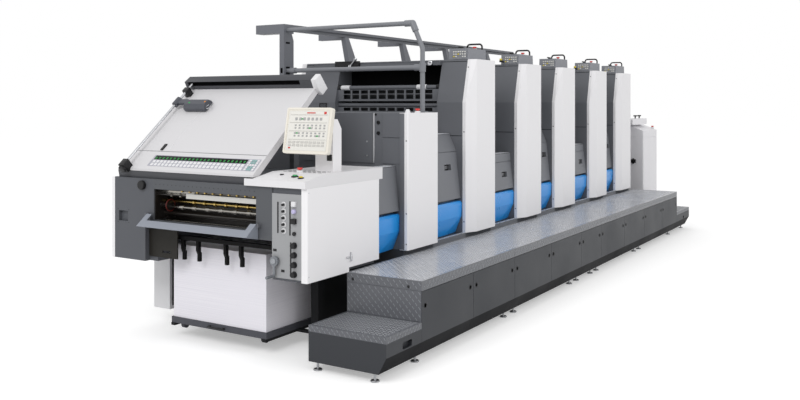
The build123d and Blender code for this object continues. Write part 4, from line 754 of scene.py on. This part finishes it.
# Delivery housings and cover
# Painted housings stand at both sides of the delivery window, a folded cover lies over the chain, and a
# white sheet panel closes the operator's side. The white post on the drive side has a long slotted plate.
delivery_front = -403
window_y = (866, 1701)
window_z = (754, 948)
corner_screws = ((1930, 722), (1930, 803), (2031, 722), (2031, 803))
top_screws = [(880 + place * 35, 978) for place in range(24)]
post_plate_x = (-34, -12)
post_plate_y = (1928.5, 1932)
post_plate_z = (118, 487)
post_knob_y = (1922, 1930)
post_knob_levels = (150, 412)
latch_arm_box = ((-31, 14), (488, 496), (570, 579))
latch_stem_box = ((9, 19), (485, 499), (547, 602))
side_panel_y = 497
side_screws = ((-388, 520), (-388, 985), (630, 560))
front_paint = finish_of("front_paint", "55575b", roughness=0.5, level=0.25, edge_light=0.25)
post_paint = finish_of("post_paint", "dcdcde", roughness=0.45, level=0.3)
stop_black = finish_of("stop_black", "0b0b0c", roughness=0.6, level=0.12, edge_light=0.0)
coat_nodes(front_paint, "delivery_front", "delivery_cover")
coat_nodes(post_paint, "drive_post")
coat_nodes(stop_black, "sheet_stops")
front_screws = [screw_head(delivery_front, y, z, 3) for y, z in corner_screws]
front_screws += [screw_head(delivery_front, y, z, 2.5) for y, z in top_screws]
fitted(front_screws, "front_screws", moulded_black)
post_slot = [sunk(start_block(post_plate_x, post_plate_y, post_plate_z), 3, 1, operator_way)]
for z in post_knob_levels:
    post_slot.append(soften(cross_rod(sum(post_plate_x) / 2, post_knob_y, z, 12, sides=24), 2))
fitted(post_slot, "drive_post_slot", moulded_black)
latch_parts = [soften(start_block(*latch_arm_box), 2.5), soften(start_block(*latch_stem_box), 3)]
latch_parts += [screw_head(x, side_panel_y, z, 3.5, operator_way) for x, z in side_screws]
fitted(latch_parts, "side_panel_latch", plate_chrome)

# Inside the delivery window
# Between the side walls run brass-coloured and ground shafts with grippers' cams and a pale light bar under
# the window's top edge, with a dark plate behind them as painted shade for the window's depths. A red guard
# ring stands round the far chain wheel.
side_walls = (748, 1707)
light_bar_box = ((-384, -374), (850, 1443), (900, 930))
tip_face = -370
tip_z = 943
tip_radius = 6
tip_starts = range(898, 1475, 64)
shade_baffle_x = (-240, -232)
far_wall_x = (-396, -236)
cam_shaft = (-300, 868, 9)
cam_starts = range(914, 1443, 88)
cam_width = 20
cam_radius = 17
guide_shaft = (-330, 836, 10)
roller_starts = range(964, 1515, 110)
roller_width = 36
roller_radius = 15
dark_shaft = (-310, 792, 12)
bar_end_shaft = (-379, 915, 4)
wheel_shaft = (-340, 845, 12)
wheel_y = 1623
wheel_radius = 36
brass = finish_of("brass", "c4aa68", roughness=0.25, metallic=1.0, mottle=0.6)
ground_steel = finish_of("ground_steel", "9d9a94", roughness=0.22, metallic=1.0, mottle=0.5, edge_light=0.1)
dark_gloss = finish_of("dark_gloss", "1a1613", roughness=0.3, level=0.5)
oxide_red = finish_of("oxide_red", "5e2019", roughness=0.45)
lamp_white = finish_of("light_bar", "c6c5c1", roughness=0.3)
coat_nodes(ground_steel, "gripper_bars", "delivery_shafts")
coat_nodes(dark_gloss, "chain_wheels")


def shaft(place, y, sides=28):
    """Length of shaft across the press, from its x, z and radius, with its ends just broken."""
    return soften(cross_rod(place[0], y, place[1], place[2], sides), 1)


def on_shaft(place, y, radius, round_by, sides=28):
    """Wheel or sleeve round a shaft."""
    return soften(cross_rod(place[0], y, place[1], radius, sides), round_by)


def start_ring(place, radius, thickness, around, across, turn=(0, 0, 0)):
    """Torus round a point, in millimetres."""
    bpy.ops.object.select_all(action="DESELECT")
    bpy.ops.mesh.primitive_torus_add(
        major_radius=radius / 1000, minor_radius=thickness / 1000,
        major_segments=around, minor_segments=across, location=spot(*place), rotation=turn,
    )
    bpy.ops.object.transform_apply(location=True, rotation=True, scale=True)
    return bpy.context.object


light_bar = soften(sunk(start_block(*light_bar_box), 3, 1), 1.5)
fitted([light_bar], "light_bar", lamp_white)
tips = [soften(boss(tip_face, y, tip_z, tip_radius, proud=22, behind=0, sides=20), 2) for y in tip_starts]
fitted(tips, "light_bar_tips", brass)
# Painted shade: a dark plate across the window stands in for the shade deep inside it.
shade_baffle = start_block(shade_baffle_x, side_walls, (window_z[0] - 20, window_z[1] + 20))
fitted([sunk(shade_baffle, 8, 4)], "delivery_shade_baffle", dark_gloss)
cams = [on_shaft(cam_shaft, (y, y + cam_width), cam_radius, 3) for y in cam_starts]
fitted(cams + [shaft(cam_shaft, side_walls)], "cam_shaft", brass)
rollers = [on_shaft(guide_shaft, (y, y + roller_width), roller_radius, 3) for y in roller_starts]
fitted([shaft(guide_shaft, side_walls)] + rollers, "guide_shafts", ground_steel)
wheel_centre = (wheel_shaft[0], wheel_y, wheel_shaft[1])
wheel_ring = start_ring(wheel_centre, wheel_radius, 3.5, 40, 10, (math.radians(90), 0, 0))
fitted([wheel_ring], "wheel_guard", oxide_red)
far_wall = start_block(far_wall_x, (window_y[1] - 3, window_y[1]), (window_z[0] + 2, window_z[1] - 2))
far_parts = [
    on_shaft(wheel_shaft, (wheel_y, 1699), wheel_shaft[2], 3),
    on_shaft(wheel_shaft, (wheel_y - 2, wheel_y + 6), wheel_radius, 2, sides=40),
    shaft(bar_end_shaft, (light_bar_box[1][1] - 4, side_walls[1]), sides=20),
    shaft(dark_shaft, side_walls),
    soften(far_wall, 1),
]
fitted(far_parts, "window_far_wall", dark_gloss)

# Control panel and crank
# A light grey plate beside the window carries small rotary switches, lit buttons, black name strips and
# four large black setting knobs. The crank below it lifts the sheet guide by hand.
panel_face = -403
switch_y = 662
switch_levels = (766, 803, 840, 877, 914)
button_y = 585
pale_square = (922, 28)
lit_key_z = 880
black_square = (826, 30)
button_proud = 17
strips = ((704, 840, 176), (617, 840, 192), (612, 610.5, 191))
strip_width = 9
small_plates = ((726, 654), (668, 541))
crank_end = (-424, 718, 594.2)
panel_paint = finish_of("panel_paint", "9a9b9d", roughness=0.42, level=0.3)
lilac = finish_of("lilac_key", "b9b4d6", roughness=0.35)
crank_paint = finish_of("crank_paint", "7d8085", roughness=0.35, metallic=0.3)
crank_cap_grey = finish_of("cap_grey", "9b9ea3", roughness=0.4)
coat_nodes(panel_paint, "control_panel")
coat_nodes(moulded_black, "panel_knobs")
coat_nodes(crank_paint, "crank")


def square_button(z, side):
    """Square button in the plate's row of buttons."""
    return soften(tab(panel_face, button_y, z, side, side, button_proud), 2)


rings = [sunk(boss(panel_face, switch_y, z, 17, proud=1.5, sides=32), 2.5, 0.8) for z in switch_levels]
fitted(rings + [square_button(*pale_square)], "switch_rings", moulded_white)
lit_key = soften(boss(panel_face, button_y, lit_key_z, 13, button_proud), 4, 3)
fitted([lit_key], "lit_key", lilac)
name_strips = [sunk(tab(panel_face, y, z, strip_width, height, 1.2), 1.5, 0.4) for y, z, height in strips]
name_strips += [sunk(tab(panel_face, y, z, 24, 14, 1.5), 2, 0.6) for y, z in small_plates]
name_strips.append(square_button(*black_square))
fitted(name_strips, "panel_name_strips", moulded_black)
crank_cap = soften(boss(*crank_end, 16, proud=9, behind=0, sides=36), 2)
fitted([sunk(crank_cap, 4, 2)], "crank_cap", crank_cap_grey, body="crank")

# Console
# The console's pale moulded top slopes down at its nose. It carries a green and a yellow button, a keypad
# with dark legends, the red stop button and the post of the tilting screen.
console_nose = -420
nose_top = 1050
slope_run = 186
slope_rise = 32
stop_collar = (-300, 760)
stop_collar_z = (1068, 1076)
legend_rows = (-205, -160, -115)
legend_columns = range(560, 813, 36)
legend_reach = (6, 11)
post_socket_box = ((-103, -98), (549, 585), (1146, 1183))
console_paint = finish_of("console_paint", "dddcde", roughness=0.4, level=0.3, mottle=0.02)
go_green = finish_of("go_green", "2f9a58", roughness=0.25, coat=0.4)
legend_ink = finish_of("legend_ink", "3a3b3f", roughness=0.5, edge_light=0.0)
buttons = ((-327, 642, 15, go_green, "go_button"), (-352, 580, 11, key_yellow, "set_button"))
coat_nodes(console_paint, "console_top")


def console_height(x):
    """Height of the console's top at a distance along the press."""
    return nose_top + min(max((x - console_nose) / slope_run, 0), 1) * slope_rise


collars = []
for x, y, radius, finish, name in buttons:
    z = console_height(x)
    collars.append(soften(upright(x, y, (z - 3, z + 5), radius + 7, sides=32), 2))
    button = soften(upright(x, y, (z, z + 12), radius, sides=32), 3, 3)
    fitted([button], name, finish)
collars.append(soften(upright(*stop_collar, stop_collar_z, 12, sides=32), 2))
fitted(collars, "button_collars", moulded_black)
legends = []
for x in legend_rows:
    z = console_height(x)
    for y in legend_columns:
        along, across = (x - legend_reach[0], x + legend_reach[0]), (y - legend_reach[1], y + legend_reach[1])
        legends.append(start_block(along, across, (z - 2, z + 0.8)))
fitted([soften(joined(legends, "legends"), 0.4, 1)], "console_legends", legend_ink)
fitted([soften(start_block(*post_socket_box), 2)], "post_socket", moulded_black)

# Tilting screen
# A beige moulded housing tilts on the post. Behind its bezel the panel shows plain rows of generic symbols
# and keys, with a coloured field here and there.
screen_pivot = (-146, 655, 1315)
screen_lean = math.radians(10.7)
field_face = -198
field_y = (508, 802)
field_z = (1197, 1433)
mark_proud = 1.2
mark_columns = range(535, 776, 30)
beige = finish_of("beige_moulding", "e2ddd2", roughness=0.45, peel=0.2, peel_scale=1200.0)
field_pale = finish_of("screen_pale", "dddbd5", roughness=0.2, level=0.5, edge_light=0.0)
grey_mark = finish_of("screen_grey", "c2c0bb", roughness=0.4, edge_light=0.0)
ink_mark = finish_of("screen_ink", "a3a3a3", roughness=0.4, edge_light=0.0)
red_mark = finish_of("screen_red", "c93a32", roughness=0.4, edge_light=0.0)
green_mark = finish_of("screen_green", "4f9b62", roughness=0.4, edge_light=0.0)
key_marks = [(y, z, 22, 12) for z in (1228, 1246) for y in mark_columns]
key_marks += [(655, z, 270, 2) for z in (1262, 1312, 1362, 1408)]
symbol_marks = [(y, z, 12, 9) for z in (1284, 1300, 1330, 1346) for y in mark_columns[:-1]]
symbol_marks += [(y, 1384, 16, 16) for y in mark_columns[1:-1]]
red_fields = ((538, 1420, 16, 14), (775, 1212, 14, 8), (640, 1420, 60, 6))
green_fields = [(y, z, 14, 8) for y, z in ((700, 1384), (640, 1330), (580, 1284), (730, 1300))]
coat_nodes(beige, "monitor")


def leaned(pieces, name, material):
    """Joins upright pieces made in front of the field, and leans them back with the screen."""
    piece = joined(pieces, name)
    pivot, turn = spot(*screen_pivot), Matrix.Rotation(screen_lean, 4, "Y")
    piece.data.transform(Matrix.Translation(pivot) @ turn @ Matrix.Translation(-pivot))
    return fitted([piece], name, material, body="screen")


field = sunk(start_block((field_face, field_face + 3), field_y, field_z), 3, 0.5)
leaned([field], "screen_field", field_pale)
for marks, name, finish, slot in (
    (key_marks, "screen_keys", grey_mark, "base_white"),
    (symbol_marks, "screen_symbols", ink_mark, "black_plastic"),
    (red_fields, "screen_red_fields", red_mark, "stop_red"),
    (green_fields, "screen_green_fields", green_mark, "base_white"),
):
    leaned([tab(field_face, *mark, mark_proud) for mark in marks], name, finish)

# Inspection desk
# The sloping desk is pale laminate on a folded tray over a dark sill. Along its foot runs a strip of ink-key
# readouts, with two rows of key switches under it and a small keypad, and black end pieces hold the rail.
desk_low = (-400, 1070)
desk_run = 596
desk_rise = 517
desk_angle = math.atan2(desk_rise, desk_run)
desk_length = math.hypot(desk_run, desk_rise)
key_bed_box = ((29, 126), (906, 1792), (-1, 1.2))
readout_up = (86, 120)
readout_y = (1003, 1776)
key_height = (0, 4)
key_rows_up = ((32, 54), (58, 80))
key_count = 24
key_pitch = (readout_y[1] - readout_y[0]) / key_count
keypad_start = (33, 914)
keypad_pitch = (18, 20)
keypad_key = (14, 15)
digit_bars_up = (91, 98, 105)
digit_half_width = 5
digit_height = (2, 3.8)
fold_box = ((159, 163), (892, 1990), (-0.5, 0.8))
stop_box = ((168, 226), (1762, 1786), (-1, 7))
margin_box = ((174, 560), (1714, 1717), (-0.5, 0.5))
rail_end_y = (1918.5, 1965.5)
carriage_box = ((-31, 27), rail_end_y, (-9, 57))
bearer_box = ((desk_length - 93.5, desk_length - 54.5), rail_end_y, (0.2, 57.5))
foot_knob_place = (1942, 26)
foot_knob_radius = 26
desk_paint = finish_of(
    "desk_laminate", "cfced0", roughness=0.5, level=0.25, mottle=0.02, peel=0.25, edge_light=0.1
)
sill_paint = finish_of("sill_paint", "47484c", roughness=0.45, level=0.3)
lilac_grey = finish_of("key_bed", "a6a6b0", roughness=0.4)
readout_black = finish_of("readout_window", "060707", roughness=0.4, level=0.15, edge_light=0.0)
key_teal = finish_of("key_teal", "7fa8a4", roughness=0.4)
digit_green = bpy.data.materials.new("digit_green")
digit_green.use_nodes = True
digit_shader = digit_green.node_tree.nodes["Principled BSDF"]
digit_shader.inputs["Base Color"].default_value = shade("1c5a2a")
digit_shader.inputs["Roughness"].default_value = 0.4
digit_shader.inputs["Emission Color"].default_value = shade("3fd060")
digit_shader.inputs["Emission Strength"].default_value = 0.5
coat_nodes(desk_paint, "inspection_desk")
coat_nodes(sill_paint, "desk_supports")


def laid(pieces, name, material, body="press"):
    """Joins flat pieces, made with the way up the slope as X, and lays them on the desk."""
    piece = joined(pieces, name)
    start = Matrix.Translation(spot(desk_low[0], 0, desk_low[1]))
    slope = Matrix.Rotation(-desk_angle, 4, "Y")
    piece.data.transform(start @ slope @ Matrix.Translation(-spot(0, 0, 0)))
    return fitted([piece], name, material, body)


laid([soften(start_block(*key_bed_box), 0.8)], "key_bed", lilac_grey)
readout = soften(start_block(readout_up, readout_y, (0, 3)), 1.2)
laid([readout], "readout_window", readout_black)
along_readout = [(0, key_pitch * place, 0) for place in range(1, key_count)]
keys = []
for up in key_rows_up:
    key = soften(start_block(up, (readout_y[0] + 3, readout_y[0] + key_pitch - 7), key_height), 1.5)
    keys += copies(key, along_readout)
laid(keys, "ink_keys", moulded_white)
pad_white, pad_teal = [], []
for row in range(5):
    for column in range(4):
        up, y = keypad_start[0] + row * keypad_pitch[0], keypad_start[1] + column * keypad_pitch[1]
        pad_key = soften(start_block((up, up + keypad_key[0]), (y, y + keypad_key[1]), key_height), 1.5)
        (pad_teal if column in (1, 2) and row != 2 else pad_white).append(pad_key)
laid(pad_white, "keypad_white", moulded_white)
laid(pad_teal, "keypad_teal", key_teal)

digit_across = (-digit_half_width, digit_half_width)
strokes = [start_block((up - 1, up + 1), digit_across, digit_height) for up in digit_bars_up]
for side in digit_across:
    for low, high in zip(digit_bars_up, digit_bars_up[1:]):
        strokes.append(start_block((low + 1.5, high - 1.5), (side - 1, side + 1), digit_height))
digit = joined(strokes, "digit")
digit.data.transform(Matrix.Translation((0, (readout_y[0] + key_pitch / 2) / 1000, 0)))
laid(copies(digit, along_readout), "readout_digits", digit_green)

laid([soften(start_block(*fold_box), 0.5, 1)], "desk_fold_line", dull_screw)
laid([soften(start_block(*stop_box), 4, 3)], "sheet_stop", moulded_black)
laid([soften(start_block(*margin_box), 0.4, 1)], "desk_margin_line", moulded_white)
foot_knob = soften(boss(-30, *foot_knob_place, foot_knob_radius, proud=16, behind=0, sides=36), 6, 3)
rail_ends = [soften(start_block(*carriage_box), 1.7), foot_knob, soften(start_block(*bearer_box), 1.7)]
laid(rail_ends, "rail_foot_knob", moulded_black, body="scanner_bridge")

# Hood, scanner rail and reading head
# A folded grey hood with a long slot and a pale moulded end crowns the desk. The head slides on a plated
# rod that travels across the desk, and shows a green light and an amber one.
hood_centre = (196, 1587)
hood_outline = ((16, 82), (-36, 44), (-5, -14), (42, -49), (93, -7))
hood_end_y = (867.5, 906)
hood_end_growth = 1.03
lid_outline = ((-36.5, 43), (-37, 45), (15.5, 83.4), (17, 81.5))
lid_y = (907, 2012)
slot_up = desk_length - 2
slot_y = (1000, 1986)
slot_floor_box = ((slot_up, slot_up + 40), slot_y, (24.5, 27))
slot_back_box = ((slot_up + 14, slot_up + 17), slot_y, (24.5, 55.5))
lamp_height = (49, 55)
lamp_radius = 6
pull_ring_place = (565, 1640, 28)
pull_ring_radius = 18
hood_paint = finish_of("hood_paint", "4b4c50", roughness=0.5, level=0.15, edge_light=0.2)
head_paint = finish_of("head_moulding", "4c4e55", roughness=0.45, peel=0.25, peel_scale=1300.0)
lamp_green = finish_of("lamp_green", "34b257", roughness=0.25)
lamp_amber = finish_of("lamp_amber", "e08a2c", roughness=0.25)
head_lamps = ((577, 1806, "head_lamp_green", lamp_green), (587, 1670, "head_lamp_amber", lamp_amber))
coat_nodes(hood_paint, "desk_hood")
coat_nodes(plate_chrome, "scanner_rail")
coat_nodes(head_paint, "scanner_head")


def drawn_out(outline, y, growth=1):
    """Flat outline round the hood's centre, extruded across the press between two values of y."""
    bpy.ops.object.select_all(action="DESELECT")
    bpy.ops.mesh.primitive_circle_add(vertices=len(outline), fill_type="NGON")
    piece = bpy.context.object
    for corner, (x, z) in zip(piece.data.vertices, outline):
        corner.co = spot(hood_centre[0] + x * growth, y[0], hood_centre[1] + z * growth)
    piece.data.update()
    select_faces(piece, lambda face: True)
    bpy.ops.mesh.extrude_region_move(TRANSFORM_OT_translate={"value": (0, (y[1] - y[0]) / 1000, 0)})
    bpy.ops.mesh.select_all(action="SELECT")
    bpy.ops.mesh.normals_make_consistent(inside=False)
    bpy.ops.object.mode_set(mode="OBJECT")
    return piece


hood_end = soften(drawn_out(hood_outline, hood_end_y, hood_end_growth), 3, 3)
fitted([hood_end], "hood_end", moulded_white)
slot_lining = [soften(start_block(*box), 0.5, 1) for box in (slot_floor_box, slot_back_box)]
laid(slot_lining, "hood_slot_lining", recess_black)
fitted([soften(drawn_out(lid_outline, lid_y), 0.4, 1)], "hood_lid", hood_paint)
for up, y, name, finish in head_lamps:
    lamp = soften(upright(up, y, lamp_height, lamp_radius, sides=24), 1.5)
    laid([lamp], name, finish, body="scanner")
pull_ring = start_ring(pull_ring_place, pull_ring_radius, 2.2, 28, 8)
laid([pull_ring], "head_pull_ring", plate_chrome, body="scanner")

# Pile, board and lifting forks
# The delivered sheets stand in a square pile on a board with castors, and the cut edges show as fine level
# lines, no two of them quite alike. Near-black forks lift the board between two posts.
sheet_stretch = (1.2, 1.2, 900)
edge_tones = ("dedce4", "efedf2")
handle_bar_box = ((-300, -292), (1215, 1355), (106, 116))
handle_feet_x = (-294, -279)
handle_feet = ((1222, 1234), (1336, 1348))
handle_feet_z = (104, 118)
paper = bpy.data.materials.new("paper_edges")
paper.use_nodes = True
tree = paper.node_tree
paper_shader = tree.nodes["Principled BSDF"]
paper_shader.inputs["Specular IOR Level"].default_value = 0.2
paper_shader.inputs["Roughness"].default_value = 0.85
flatten = added(tree, "Mapping", {
    "Vector": tree.nodes.new("ShaderNodeTexCoord").outputs["Object"], "Scale": sheet_stretch,
})
grain = added(tree, "TexNoise", {"Vector": flatten.outputs["Vector"], "Scale": 1.0, "Detail": 3})
sheets = grain.outputs["Fac"]
tone = added(tree, "MapRange", {"Value": sheets, "From Min": 0.3, "From Max": 0.7})
blend = added(tree, "Mix", {
    "A": shade(edge_tones[0]), "B": shade(edge_tones[1]), "Factor": tone.outputs["Result"],
})
tree.links.new(blend.outputs["Result"], paper_shader.inputs["Base Color"])
paper_relief = added(tree, "Bump", {"Distance": relief_depth, "Strength": 0.5, "Height": sheets})
tree.links.new(paper_relief.outputs["Normal"], paper_shader.inputs["Normal"])
board_paint = finish_of("board_paint", "4d4e54", roughness=0.6, level=0.2)
bracket_paint = finish_of("bracket_paint", "201e1a", roughness=0.55, level=0.25)
coat_nodes(paper, "paper_pile", "feeder_pile")
coat_nodes(board_paint, "pile_board", "feeder_board")
coat_nodes(frame_paint, "lifting_forks", "guide_posts")
coat_nodes(bracket_paint, "lift_bracket")
handle = [soften(start_block(*handle_bar_box), 3, 3)]
handle += [soften(start_block(handle_feet_x, y, handle_feet_z), 2) for y in handle_feet]
fitted(handle, "pile_board_handle", moulded_black, body="pile")

# Moving guard
# The guard under the delivery window is one folded sheet, sprayed in a light blue-grey. It swings on two
# pins in grey hinges.
guard_paint = finish_of("guard_paint", "8b909a", roughness=0.38, level=0.35, edge_light=0.3)
coat_nodes(guard_paint, "moving_guard")
coat_nodes(body_paint, "guard_hinges")

# Feeder
# The feeder's two pale painted posts carry the pile board and the suction head. The head's housing has two
# black setting knobs, each with a wide cap on a narrow sleeve.
knob_places = ((6431, 675), (6601, 675))
knob_cap_z = (1317.2, 1332.8)
knob_cap_radius = 22.8
knob_sleeve_z = (1294, 1318)
knob_sleeve_radius = 7.8
feeder_paint = finish_of("feeder_paint", "e6e5e8", roughness=0.42, level=0.3, edge_light=0.2)
coat_nodes(feeder_paint, "feeder_posts", "feeder_beams", "feeder_head", "feed_board")
setting_knobs = []
for x, y in knob_places:
    setting_knobs.append(soften(upright(x, y, knob_cap_z, knob_cap_radius, sides=36), 3, 3))
    setting_knobs.append(upright(x, y, knob_sleeve_z, knob_sleeve_radius, sides=24))
fitted(setting_knobs, "feeder_setting_knobs", moulded_black)
